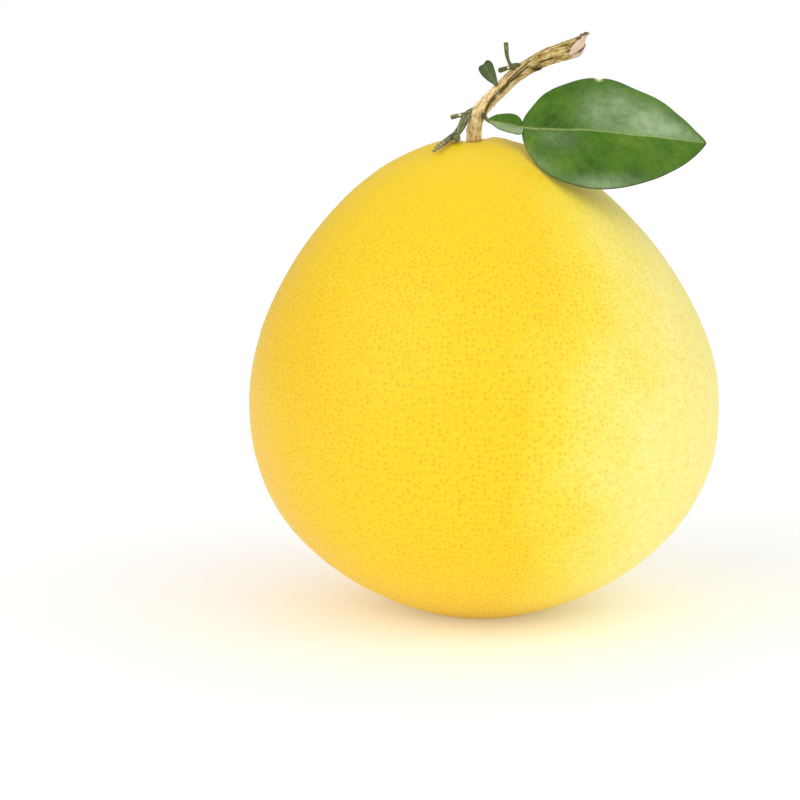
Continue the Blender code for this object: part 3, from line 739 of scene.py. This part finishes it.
def rim_facts(around, to_end, lip):
    """How dark the frayed rim and how pale the lip is: bell curves of the distance to the end."""
    pale = np.exp(-(to_end / LIP_PALE) ** 2) * lip
    fray = (np.exp(-(turned_gap(around, FRAY_PLACE) / FRAY_WIDTH) ** 2)
            * (FRAY_LEVEL + wave_sum(around, FRAY_WAVES)))
    split = np.exp(-(turned_gap(around, SPLIT_PLACE) / SPLIT_WIDTH) ** 2)
    dark_rim = np.clip(fray * (1 - lip), 0, 1)[None]
    frayed = np.exp(-(to_end / FRAY_REACH) ** 2) * dark_rim
    within = np.clip(INNER_SHADE + fray + split, 0, 1)[None]
    return {"rim": np.concatenate([frayed, dark_rim, within, within]),
            "lip": np.concatenate([pale, lip[None], np.zeros((2, TWIG_COLUMNS))])}


def lay_over(material, fact_name, colour, share=1.0):
    """Lay a colour over a material's own, as strongly as one of the mesh's facts says."""
    tree = material.node_tree
    shader = tree.nodes["Principled BSDF"]
    below = shader.inputs["Base Color"].links[0].from_socket
    fact = node(tree, "Attribute", attribute_name=fact_name).outputs["Fac"]
    tree.links.new(mixed(tree, product(tree, fact, share), below, colour),
                   shader.inputs["Base Color"])


twig_material = bark_material(
    "twig_tan", ((0.36, (0.42, 0.23, 0.060)), (0.44, (0.86, 0.60, 0.25)),
                 (0.54, (1.0, 0.78, 0.39)), (0.68, (1.0, 0.92, 0.64))), 1700.0,
    ((0.38, (0.17, 0.110, 0.014)), (0.46, (0.49, 0.35, 0.10)),
     (0.54, (0.71, 0.54, 0.22)), (0.65, (0.94, 0.80, 0.47))))
lay_over(twig_material, "groove", (0.060, 0.045, 0.004), 0.94)
lay_over(twig_material, "dark", (0.050, 0.036, 0.012), 0.94)
lay_over(twig_material, "lip", (0.66, 0.58, 0.48), 0.90)
lay_over(twig_material, "rim", (0.045, 0.022, 0.008), 0.95)
twig_bark, twig_wood = build_twig()
finish_piece(twig_bark, twig_material, ["twig"])
finish_piece(twig_wood, wood_material())


# The side shoots: two young green-brown shoots that were pruned short, each a few forking bars
# with a pale scar where a leaf fell, and on the lower one a bud of striped scales at the tip.
UPPER_RUNS = (
    (((10.9, 3.2, 179.5), (8.8, 0.4, 179.9), (7.0, -0.6, 179.4), (5.3, -1.6, 178.9)),
     (0.78, 0.70, 0.74, 0.86)),
    (((13.0, 3.7, 180.5), (10.9, 1.9, 180.8), (9.3, 0.5, 180.6), (8.4, 0.3, 182.2),
      (7.9, 0.4, 184.0), (7.7, 0.6, 185.9), (7.6, 1.0, 188.0)),
     (0.72, 0.70, 0.62, 0.50, 0.62, 0.74, 0.78)),
)
LOWER_RUNS = (
    (((-2.7, 1.3, 166.1), (-4.5, 0.2, 164.9), (-5.8, -1.8, 163.2), (-7.1, -4.8, 160.7),
      (-8.9, -9.0, 158.5), (-11.2, -13.6, 157.1), (-13.0, -17.0, 155.9),
      (-14.7, -19.4, 154.8), (-16.5, -22.4, 153.3)),
     (1.05, 1.30, 1.35, 1.25, 1.10, 0.95, 0.92, 0.82, 0.30)),
    (((-5.4, -1.2, 164.7), (-8.0, -2.4, 164.3), (-10.4, -2.8, 163.8)),
     (0.95, 0.65, 0.82)),
    (((-8.6, -9.6, 158.7), (-8.7, -13.0, 157.9), (-8.8, -15.4, 157.2)),
     (0.95, 1.05, 1.25)),
)
UPPER_SCARS = (((8.3, -0.9, 180.0), 0.55),)
LOWER_SCARS = (((-7.5, -2.9, 164.7), 0.60),)
SHOOT_COLUMNS = 48
ROWS_PER_POINT = 16
SCALE_LENGTH, SCALE_HEIGHT, SCALE_FADE = 1.7 * MM, 0.18 * MM, 0.05
SCALE_SLANT, SLANT_START = 0.30, 0.9
RING_LENGTH, RING_HEIGHT, RING_FADE = 0.80 * MM, 0.07 * MM, 0.08
SHOOT_RIDGES, SHOOT_RIDGE_HEIGHT = (5, 8, 11), 0.07 * MM
END_ROUNDING, END_REACH, END_DOME = 0.22, 0.12 * MM, 0.06 * MM
PATTERN_STEP = 7.0 * MM
NOWHERE = 2.0  # a share past a run's end, for a run with no rings or no scales
SCAR_COLOUR, SCAR_CORE, BAND_COLOUR = (0.78, 0.72, 0.56), 0.7, (0.58, 0.44, 0.26)


def shoot_run(name, points, radii, seed, rings_from=NOWHERE, scales_from=NOWHERE):
    """One bar of a shoot: radius from its table, plus fine ridges, cosine rings and saw scales."""
    line = smooth_line(np.array(points) * MM, ROWS_PER_POINT * len(points))
    length = along_length(line)
    share = np.linspace(0, 1, len(line))
    around = np.linspace(0, 2 * math.pi, SHOOT_COLUMNS, endpoint=False)
    size = np.interp(share * (len(radii) - 1), np.arange(len(radii)), radii) * MM
    size = size * (1 - END_ROUNDING * np.exp(-((length[-1] - length) / END_REACH) ** 2))
    radius = size[:, None] + bark_relief(length, around, seed, SHOOT_RIDGES, SHOOT_RIDGE_HEIGHT)
    ringed = np.clip((share - rings_from) / RING_FADE, 0, 1)
    radius = radius + (RING_HEIGHT * np.cos(2 * math.pi * length / RING_LENGTH) * ringed)[:, None]
    scaly = np.clip((share - scales_from) / SCALE_FADE, 0, 1)
    saw = (((length[-1] - length) / SCALE_LENGTH)[:, None]
           + SCALE_SLANT * np.sin(2 * around + SLANT_START)) % 1.0
    radius = radius + SCALE_HEIGHT * (saw - 0.5) * scaly[:, None]
    rings, _ = swept(line, radius, around, TWIG_FRONT)
    facts = {"stripe": saw * scaly[:, None],
             "unbent": straightened(length, around, size.mean()) + seed * PATTERN_STEP}
    ahead = (line[-1] - line[-2]) / np.linalg.norm(line[-1] - line[-2])
    return closed_rings(name, rings, line[0], line[-1] - ahead * END_DOME, facts)


def joined(name, pieces):
    """Several closed shapes as one object, the first one's name taken by the whole."""
    with bpy.context.temp_override(active_object=pieces[0], object=pieces[0],
                                   selected_editable_objects=pieces,
                                   selected_objects=pieces):
        bpy.ops.object.join()
    pieces[0].name = name
    return pieces[0]


def shoot_material(name, stops, scars):
    """Young bark: olive and grey-brown streaks, pale round scars, light bands on its scales."""
    material = bark_material(name, stops, 1900.0)
    tree = material.node_tree
    shader = tree.nodes["Principled BSDF"]
    colour = shader.inputs["Base Color"].links[0].from_socket
    place = node(tree, "TexCoord").outputs["Object"]
    for spot, width in scars:
        gap = node(tree, "VectorMath", {0: place, 1: tuple(c * MM for c in spot)},
                   operation="DISTANCE").outputs["Value"]
        near = rescaled(tree, gap, width * MM, width * SCAR_CORE * MM)
        colour = mixed(tree, near, colour, SCAR_COLOUR)
    stripe = node(tree, "Attribute", attribute_name="stripe").outputs["Fac"]
    light = ramp(tree, stripe, ((0.35, 0.0), (0.60, 0.75), (0.85, 0.75), (0.99, 0.0)))
    tree.links.new(mixed(tree, light, colour, BAND_COLOUR), shader.inputs["Base Color"])
    return material


upper_shoot = joined("upper_shoot_bark", [
    shoot_run(f"upper_run_{i}", points, radii, 31 + i, rings_from)
    for i, ((points, radii), rings_from) in enumerate(zip(UPPER_RUNS, (0.45, NOWHERE)))])
finish_piece(upper_shoot, shoot_material(
    "young_bark_light", ((0.32, (0.054, 0.064, 0.018)), (0.48, (0.132, 0.152, 0.046)),
                         (0.66, (0.27, 0.30, 0.105))), UPPER_SCARS),
    ["upper_shoot"])
lower_shoot = joined("lower_shoot_bark", [
    shoot_run(f"lower_run_{i}", points, radii, 41 + i, rings_from, scales_from)
    for i, ((points, radii), rings_from, scales_from) in enumerate(
        zip(LOWER_RUNS, (NOWHERE, 0.40, NOWHERE), (0.74, NOWHERE, NOWHERE)))])
finish_piece(lower_shoot, shoot_material(
    "young_bark_dark", ((0.32, (0.070, 0.074, 0.024)), (0.48, (0.165, 0.178, 0.070)),
                        (0.64, (0.42, 0.43, 0.24))), LOWER_SCARS),
    ["lower_shoot"])


# The bare stalk: a leaf stalk with its two small wings, like a green heart, whose blade has
# dropped off. It is thin, dark green and waxy, with a fine rib up the middle.
BARE_FOOT = np.array((4.6, 0.8, 173.8)) * MM
BARE_TIP = np.array((0.5, 0.0, 180.8)) * MM
BARE_TOP = (  # share of the way across, right to left, and the top edge's height there in mm
    (-1.0, 7.8), (-0.76, 8.80), (-0.38, 8.95), (0.0, 8.50), (0.3, 8.50), (0.57, 8.55),
    (0.83, 8.35), (1.0, 7.5))
BARE_SIDES = {  # height up the stalk and half width there in mm, left and right
    1: ((0.0, 0.35), (1.1, 0.60), (3.4, 1.70), (5.6, 2.35), (7.2, 2.50), (7.8, 2.45)),
    -1: ((0.0, 0.40), (1.3, 1.05), (3.7, 1.85), (6.5, 2.45), (7.8, 2.50))}
BARE_THICKNESS = 0.22 * MM
BARE_CUP = 0.45 * MM
BARE_RIB_WIDTH, BARE_RIB_HEIGHT = 0.17 * MM, 0.16 * MM
BARE_VEIN_SHARE = 0.55
BARE_EDGE_FROM = 0.86
# The pale grey-green of the painted sheen on the blade and the lower wing.
PAINTED_SHEEN_COLOUR = (0.35, 0.46, 0.25)


def smooth_values(table, at):
    """Values between a table's pairs, on the smooth cubic through them."""
    dense = smooth_line(np.array(table, dtype=float), 40 * len(table))
    return np.interp(at, dense[:, 0], dense[:, 1])


def two_faced(name, front, back, facts):
    """A thin closed sheet: a front grid, a back grid, and a rim of faces that joins them."""
    rows, columns = front.shape[:2]
    index = np.arange(rows * columns).reshape(rows, columns)
    quads = np.stack([index[:-1, :-1], index[:-1, 1:], index[1:, 1:], index[1:, :-1]],
                     axis=-1).reshape(-1, 4)
    other = quads[:, ::-1] + rows * columns
    edge = np.concatenate([index[0, :-1], index[:-1, -1], index[-1, :0:-1], index[:0:-1, 0]])
    after = np.roll(edge, -1)
    rim = np.stack([after, edge, edge + rows * columns, after + rows * columns], axis=-1)
    verts = np.concatenate([front.reshape(-1, 3), back.reshape(-1, 3)])
    mesh = bpy.data.meshes.new(name)
    mesh.from_pydata(verts.tolist(), [], np.concatenate([quads, other, rim]).tolist())
    for fact_name, values in facts.items():
        flat = values.reshape(rows * columns, *values.shape[2:])
        keep_fact(mesh, fact_name, np.concatenate([flat, flat]))
    back_side = np.repeat([0.0, 1.0], rows * columns)
    keep_fact(mesh, "underside", back_side)
    return placed(name, mesh)


def bare_stalk_sheet(rows=90, columns=61):
    """A heart on a foot: half widths and top edge from their tables, cupped, with a rib."""
    u = np.linspace(0, 1, rows)[:, None]
    out = np.linspace(-1, 1, columns)[None]
    side_height = u * BARE_SIDES[1][-1][0]
    across = out * MM * np.where(out >= 0, smooth_values(BARE_SIDES[1], side_height),
                                 smooth_values(BARE_SIDES[-1], side_height))
    along = u * smooth_values(BARE_TOP, out) * MM
    rib = np.exp(-(across / BARE_RIB_WIDTH) ** 2)
    lift = BARE_CUP * out ** 2 * u + BARE_RIB_HEIGHT * rib * (1 - u * 0.5)
    axis = (BARE_TIP - BARE_FOOT) / np.linalg.norm(BARE_TIP - BARE_FOOT)
    side = np.cross(np.array((0.0, -1.0, 0.0)), axis)
    side /= np.linalg.norm(side)
    face = np.cross(axis, side)
    face *= -np.sign(face[1])
    front = (BARE_FOOT + axis * along[..., None] + side * across[..., None]
             + face * lift[..., None])
    back = front - face * (BARE_THICKNESS + BARE_RIB_HEIGHT * 2 * rib)[..., None]
    front, back = front[:, ::-1], back[:, ::-1]  # the columns now run left to right
    edge = np.maximum(np.abs(out) * np.ones_like(u), u ** 2 * np.ones_like(out))
    weave = np.stack([along - np.abs(across) * 1.2, np.abs(across), 0 * along], axis=-1)
    facts = {"vein": BARE_VEIN_SHARE * rib, "weave": weave,
             "margin": np.clip((edge - BARE_EDGE_FROM) / (1 - BARE_EDGE_FROM), 0, 1)}
    return two_faced("bare_stalk_wings", front, back, facts)


def leaf_material(name, greens, vein_colour, under_colour, roughness, mottle_shift=(0, 0, 0)):
    """Waxy leaf: patchy greens with fine streaks beside the veins, and a pale grey-green painted
    sheen.
    """
    material, tree, shader = fresh_material(name, roughness, 0.16)
    place = node(tree, "TexCoord").outputs["Object"]
    shifted = node(tree, "VectorMath", {0: place, 1: mottle_shift}, operation="ADD")
    colour = ramp(tree, clouds(tree, shifted.outputs["Vector"], 95.0, 6.0, 0.66), greens)
    weave = node(tree, "Attribute", attribute_name="weave").outputs["Vector"]
    long = node(tree, "Mapping", {"Vector": weave, "Scale": (1.0, 0.42, 1.0)}).outputs["Vector"]
    streak = clouds(tree, long, 1500.0, 4.0, 0.65)
    dark = ramp(tree, streak, ((0.25, 0.30), (0.50, 0.0)))
    colour = mixed(tree, dark, colour, tuple(0.6 * c for c in greens[0][1]))
    light = ramp(tree, streak, ((0.50, 0.0), (0.80, 0.10)))
    colour = mixed(tree, light, colour, vein_colour)
    # Painted sheen: pale grey-green laid over where light would reflect, broken up by streaks and
    # blots.
    painted_sheen = node(tree, "Attribute", attribute_name="painted_sheen").outputs["Fac"]
    uneven = rescaled(tree, streak, 0.3, 0.7, 0.76, 1.0)
    blot = rescaled(tree, clouds(tree, place, 320.0, 4.0, 0.6), 0.36, 0.60, 0.74, 1.14)
    sheen_share = product(tree, painted_sheen, product(tree, uneven, blot))
    colour = mixed(tree, sheen_share, colour, PAINTED_SHEEN_COLOUR)
    tree.links.new(colour, shader.inputs["Base Color"])
    lay_over(material, "vein", vein_colour)
    lay_over(material, "underside", under_colour, 0.7)
    low = bumped(tree, shader, clouds(tree, place, 900.0, 3.0, 0.6), 0.04 * MM, 0.5)
    bumped(tree, shader, streak, 0.05 * MM, 0.5, low)
    return material


bare_stalk = bare_stalk_sheet()
bare_material = leaf_material(
    "stalk_green", ((0.30, (0.045, 0.080, 0.028)), (0.50, (0.085, 0.130, 0.048)),
                    (0.72, (0.130, 0.180, 0.075))), (0.22, 0.30, 0.13), (0.12, 0.17, 0.07), 0.50)
lay_over(bare_material, "margin", (0.030, 0.040, 0.018), 0.70)
finish_piece(bare_stalk, bare_material, ["bare_petiole"])


# The leaf: one whole leaf as it grew, a stalk with two small wings, a joint, and a broad waxy
# blade that hangs in front of the fruit's shoulder, with a pale midrib and a nick in its edge.
STALK_ROUTE = np.array((
    (-0.4, 0.6, 165.2), (0.8, -1.9, 164.0), (1.6, -4.4, 162.9), (3.7, -7.4, 162.3),
    (6.3, -10.8, 161.8), (9.1, -13.7, 161.4), (11.9, -16.2, 160.7))) * MM
MIDRIB_ROUTE = np.array((
    (11.9, -16.2, 160.7), (14.7, -18.5, 160.5), (17.8, -20.2, 160.4), (24.0, -22.3, 160.2),
    (34.6, -24.0, 159.9), (48.5, -24.0, 158.4), (62.0, -22.0, 156.9),
    (70.7, -19.6, 155.9))) * MM
BLADE_HALF_WIDTH = 20.4 * MM
BLADE_MARGINS = {1: (0.68, 0.92), -1: (0.50, 0.84)}
BLADE_TILTS = {1: 37.0, -1: 31.0}
BLADE_ARCH = 0.9 * MM
BLADE_RIPPLE, RIPPLE_COUNT = 0.5 * MM, 3.3
BLADE_THICKNESS, EDGE_THINNING = 0.30 * MM, 0.35
EDGE_WAVE_HEIGHT, EDGE_WAVES = 0.06 * MM, 9
SOFT_SWELL, SOFT_WAVE = 0.10 * MM, 9.0 * MM
# Painted shade along the blade's edge, weaker on the upper half.
DARK_EDGE_FROM, UPPER_EDGE_SHARE = 0.97, 0.35
EDGE_HALF_WIDTH = 0.35 * MM
WING_START = 0.30
WING_HALF_WIDTH = 3.9 * MM
WING_MARGINS = {1: (1.00, 0.38), -1: (1.15, 0.42)}
WING_PAST = 0.030
WING_TILTS = {1: 30.0, -1: 52.0}
WING_ARCH = 0.3 * MM
WING_SWELL, WING_WAVE = 0.12 * MM, 5.0 * MM
# Painted shade along the wings' edges, weaker on the upper wing.
WING_EDGE_FROM, WING_UPPER_SHARE = 0.93, 0.3
# The last of these is how strong the painted sheen is on the lower wing.
WING_VEIN_STEP, WING_VEIN_DEPTH, WING_PAINTED_SHEEN = 1.6, 0.04 * MM, 0.85
VEIN_SPACING, VEIN_STAGGER = 4.7 * MM, 0.45
VEIN_SLOPE, VEIN_BEND, VEIN_SLANT = 0.85, 9.0, 0.75
VEIN_WANDER, WANDER_WAVE = 0.9 * MM, 16.0 * MM
VEIN_WIDTH, VEIN_TAPER = 0.20 * MM, 0.5
VEIN_HEIGHT, VEIN_BACK_SHARE = 0.05 * MM, 1.2
VEIN_EDGE_FADE, VEIN_FOOT_FADE = 0.85, 9
VEIN_TINT, RIB_TINT = 0.14, 0.85
WING_VEIN_TINT, WING_RIB_TINT = 0.12, 0.90
MOTTLE_SHIFT = (-0.050, 0.020, 0.010)
RIB_WIDTH, RIB_TAPER, RIB_GROOVE = 0.30 * MM, 0.12 * MM, 0.10 * MM
RIB_ROWS, RIB_COLUMNS = 260, 28
RIB_RADII = (0.85, 0.58, 0.48, 0.66, 0.58, 0.26)  # in mm, from the twig to the leaf's tip
RIB_DEPTHS = (0.0, 0.10, 0.34, 0.52, 0.24)  # in mm behind the leaf's own line
RIB_PAST_JOINT = 0.05
RIB_LEAN = math.radians(34.0)
BROWN_TO, GREEN_FROM = 0.5 * MM, 2.8 * MM
NICK_PLACE, NICK_WIDTH, NICK_DEPTH = 0.425, 0.019, 0.034
NICK_FROM, TORN_FROM = 0.70, 0.92
SHOULDER_RISE, SHOULDER_AT, SHOULDER_REACH = 0.085, 0.78, 0.09
# Painted sheen: soft pale ovals on the blade where light would reflect.
PAINTED_SHEEN_OVALS = (  # side, share of the length, share of the half width, reach of each, and strength
    (1, 0.72, 0.24, 0.24, 0.48, 1.00), (1, 0.42, 0.30, 0.11, 0.42, 0.62),
    (1, 0.54, 0.45, 0.13, 0.36, 0.72), (-1, 0.18, 0.16, 0.11, 0.30, 0.26),
    (-1, 0.42, 0.96, 0.18, 0.16, 0.64), (-1, 0.10, 0.90, 0.10, 0.20, 0.30))
TIP_FROM, TIP_SHARPNESS = 0.985, 100
BLADE_ROWS, BLADE_COLUMNS = 300, 141
WING_ROWS, WING_COLUMNS = 90, 61


def outline_share(u, powers):
    """Half width of a leaf outline as a share of its widest: u^a (1 - u)^b, scaled to 1."""
    rise, fall = powers
    peak = rise / (rise + fall)
    widest = peak ** rise * (1 - peak) ** fall
    return np.clip(u, 0, 1) ** rise * np.clip(1 - u, 0, 1) ** fall / widest


def leaf_grid(foot, u, out, half_width, margins, tilts, arch, ripple):
    """A grid of leaf points: out from the rib along two tilted halves, arched and rippled."""
    upper = out >= 0
    share = np.where(upper, outline_share(u, margins[1]), outline_share(u, margins[-1]))
    lean = np.where(upper, math.radians(tilts[1]), math.radians(tilts[-1])) + 0 * share
    side = np.where(upper, 1.0, -1.0)
    nothing = np.zeros_like(lean)
    across = np.stack([nothing, np.sin(lean), np.cos(lean)], axis=-1) * side[..., None]
    front = np.stack([nothing, -np.cos(lean), np.sin(lean)], axis=-1)
    reach = np.abs(out)
    width = half_width * share + EDGE_HALF_WIDTH
    bulge = arch * share * np.sin(math.pi * reach) + ripple * share * reach ** 3
    points = foot[:, None] + across * (reach * width)[..., None] + front * bulge[..., None]
    return points, front, reach * width


def vein_drift(along, away):
    """How far towards the tip a spot's vein left the rib: veins slant and bend to the tip."""
    return along - away * VEIN_SLOPE + away ** 2 * VEIN_BEND


def vein_lines(drift, away, upper):
    """Nearness to a side vein, 1 on it: veins leave the rib at even steps, by turns."""
    phase = drift / VEIN_SPACING + np.where(upper, 0.0, VEIN_STAGGER)
    gap = np.abs(phase - np.round(phase)) * VEIN_SPACING * VEIN_SLANT
    width = VEIN_WIDTH * (1 - VEIN_TAPER * np.clip(away / BLADE_HALF_WIDTH, 0, 1))
    return np.exp(-(gap / width) ** 2)


def painted_sheen_field(share, out):
    """Strength of the painted sheen, 0 to 1: a few soft ovals, each on one half of the blade."""
    total = np.zeros(np.broadcast(share, out).shape)
    for side, along, across, reach_along, reach_across, strength in PAINTED_SHEEN_OVALS:
        oval = np.exp(-((share - along) / reach_along) ** 2
                      - ((np.abs(out) - across) / reach_across) ** 2)
        total = np.maximum(total, strength * oval * (out * side > 0))
    return total


def painted_edge_shade(out, begins, upper_share):
    """Painted shade on a leaf's edge, where its thin rim lies in shadow: it rises from a share of
    the half width, less above the rib.
    """
    rise = np.clip((np.abs(out) - begins) / (1 - begins), 0, 1)
    return rise * np.where(out < 0, 1.0, upper_share)


def streak_map(drift, away, out):
    """Places for the fine streaks: towards the tip, away from the rib, and which half."""
    return np.stack([drift, away, np.sign(out) * MM * np.ones_like(away)], axis=-1)


def blade_sheet():
    """The blade with its veins sunk in front and raised behind, wavy, with one torn nick."""
    u = np.linspace(0, 1, BLADE_ROWS)[:, None]
    out = np.linspace(-1, 1, BLADE_COLUMNS)[None]
    foot = smooth_line(MIDRIB_ROUTE, BLADE_ROWS)
    share = ((foot[:, 0] - foot[0, 0]) / (foot[-1, 0] - foot[0, 0]))[:, None]
    nick = np.exp(-((share - NICK_PLACE) / NICK_WIDTH) ** 2) * (out > 0)
    shorter = out * (1 - NICK_DEPTH * nick * np.clip((out - NICK_FROM) / (1 - NICK_FROM), 0, 1))
    corner = np.exp(-((share - SHOULDER_AT) / SHOULDER_REACH) ** 2)
    shorter = shorter * (1 + SHOULDER_RISE * corner * np.clip(out, 0, 1))
    ripple = BLADE_RIPPLE * np.sin(2 * math.pi * RIPPLE_COUNT * u + np.where(out >= 0, 1, -1))
    middle, front_way, away = leaf_grid(foot, share, shorter, BLADE_HALF_WIDTH,
                                        BLADE_MARGINS, BLADE_TILTS, BLADE_ARCH, ripple)
    edge_wave = (EDGE_WAVE_HEIGHT * np.abs(out) ** 5
                 * np.sin(2 * math.pi * EDGE_WAVES * u + 3 * out))
    drift = vein_drift(along_length(foot)[:, None], away)
    uneven = drift + VEIN_WANDER * ripples(middle, WANDER_WAVE, count=12, seed=23)
    fade = np.clip(1 - np.abs(out) * VEIN_EDGE_FADE, 0, 1) * np.clip(share * VEIN_FOOT_FADE, 0, 1)
    veins = vein_lines(uneven, away, out >= 0) * fade
    rib = np.exp(-(away / (RIB_WIDTH - RIB_TAPER * share)) ** 2)
    soft = SOFT_SWELL * ripples(middle, SOFT_WAVE, count=18, seed=17)
    lift = (edge_wave + soft - VEIN_HEIGHT * veins - RIB_GROOVE * rib)[..., None]
    thick = BLADE_THICKNESS * (1 - EDGE_THINNING * np.abs(out) ** 6)
    front = middle + front_way * (lift + thick[..., None] / 2)
    back = middle + front_way * (lift - thick[..., None] / 2
                                 - VEIN_BACK_SHARE * VEIN_HEIGHT * veins[..., None])
    edge = painted_edge_shade(out, DARK_EDGE_FROM, UPPER_EDGE_SHARE)
    margin = np.maximum(edge * np.ones_like(u),
                        np.clip((share - TIP_FROM) * TIP_SHARPNESS, 0, 1))
    # The last fact holds the painted sheen.
    facts = {"vein": np.clip(VEIN_TINT * veins + RIB_TINT * rib, 0, 1), "margin": margin,
             "torn": nick * np.clip((out - TORN_FROM) / (1 - TORN_FROM), 0, 1),
             "weave": streak_map(drift, away, out), "painted_sheen": painted_sheen_field(share, out)}
    return two_faced("leaf_blade", front, back, facts)


def wing_sheet():
    """The stalk's two wings, folded along the stalk into a shallow valley."""
    u = np.linspace(0, 1, WING_ROWS)[:, None]
    out = np.linspace(-1, 1, WING_COLUMNS)[None]
    whole = smooth_line(np.concatenate([STALK_ROUTE, MIDRIB_ROUTE[1:2]]), 8 * WING_ROWS)
    joint = (len(STALK_ROUTE) - 1) / len(STALK_ROUTE)
    foot = whole[(np.linspace(WING_START * joint, joint + WING_PAST, WING_ROWS)
                  * len(whole)).astype(int)]
    middle, front_way, away = leaf_grid(foot, u, out, WING_HALF_WIDTH, WING_MARGINS,
                                        WING_TILTS, WING_ARCH, 0.0 * u)
    drift = vein_drift(along_length(foot)[:, None] * WING_VEIN_STEP, away)
    veins = vein_lines(drift, away, out >= 0) * np.clip(1 - np.abs(out), 0, 1)
    rib = np.exp(-(away / RIB_WIDTH) ** 2)
    swell = WING_SWELL * ripples(middle, WING_WAVE, count=14, seed=19)
    lift = (swell - WING_VEIN_DEPTH * veins)[..., None]
    front = middle + front_way * (lift + BLADE_THICKNESS / 2)
    back = middle + front_way * (lift - BLADE_THICKNESS / 2)
    # The lower wing is painted paler all over, as a sheen.
    facts = {"vein": np.clip(WING_VEIN_TINT * veins + WING_RIB_TINT * rib, 0, 1),
             "margin": painted_edge_shade(out, WING_EDGE_FROM, WING_UPPER_SHARE) * np.ones_like(u),
             "weave": streak_map(drift, away, out),
             "painted_sheen": np.where(out < 0, WING_PAINTED_SHEEN, 0.0) * np.ones_like(u)}
    return two_faced("leaf_wings", front, back, facts)


def rib_bar():
    """Stalk and midrib in one bar under the blade: radius and depth by their shares along it."""
    route = np.concatenate([STALK_ROUTE[:-1], MIDRIB_ROUTE])
    line = smooth_line(route, RIB_ROWS)
    share = np.linspace(0, 1, RIB_ROWS)
    joint = (len(STALK_ROUTE) - 1) / (len(route) - 1)
    past = joint + RIB_PAST_JOINT
    size = np.interp(share, (0, 0.10, joint * 0.9, joint, past, 1), RIB_RADII) * MM
    sink = np.interp(share, (0, joint * 0.3, joint, past, 1), RIB_DEPTHS) * MM
    around = np.linspace(0, 2 * math.pi, RIB_COLUMNS, endpoint=False)
    back_way = np.array((0.0, math.cos(RIB_LEAN), -math.sin(RIB_LEAN)))
    line = line + back_way * sink[:, None]
    points, _ = swept(line, np.repeat(size[:, None], RIB_COLUMNS, axis=1), around, TWIG_FRONT)
    return closed_rings("leaf_rib", points, line[0], line[-1])


def rib_material():
    """Pale yellow-green, smooth, a little browner at the twig."""
    material, tree, shader = fresh_material("rib_green", 0.5, 0.4)
    place = node(tree, "TexCoord").outputs["Object"]
    colour = ramp(tree, clouds(tree, place, 500.0, 3.0), ((0.35, (0.17, 0.24, 0.055)),
                                                          (0.7, (0.36, 0.44, 0.15))))
    apart = node(tree, "SeparateXYZ", {"Vector": place})
    greener = rescaled(tree, apart.outputs["X"], BROWN_TO, GREEN_FROM)
    colour = mixed(tree, greener, (0.075, 0.075, 0.020), colour)
    tree.links.new(colour, shader.inputs["Base Color"])
    bumped(tree, shader, clouds(tree, place, 2500.0, 2.0), 0.05 * MM, 0.5)
    return material


LEAF_GREENS = ((0.30, (0.026, 0.086, 0.004)), (0.45, (0.054, 0.146, 0.006)),
               (0.58, (0.074, 0.180, 0.009)), (0.76, (0.160, 0.245, 0.020)))
RIB_GREEN, UNDER_GREEN = (0.32, 0.42, 0.12), (0.22, 0.32, 0.12)
blade_material = leaf_material("blade_green", LEAF_GREENS, RIB_GREEN, UNDER_GREEN, 0.38,
                               MOTTLE_SHIFT)
# Dark edge: painted shade where the thin rim lies in shadow, and a darker tip.
lay_over(blade_material, "margin", (0.045, 0.042, 0.022), 0.85)
lay_over(blade_material, "torn", (0.82, 0.80, 0.30))
wing_material = leaf_material("wing_green", LEAF_GREENS, (0.42, 0.50, 0.15), UNDER_GREEN, 0.38)
# Dark edge on the wings: painted shade as on the blade.
lay_over(wing_material, "margin", (0.050, 0.070, 0.025), 0.60)
blade = blade_sheet()
wings = wing_sheet()
rib = rib_bar()
finish_piece(blade, blade_material, ["leaf"])
finish_piece(wings, wing_material, ["leaf"])
finish_piece(rib, rib_material(), ["leaf"])
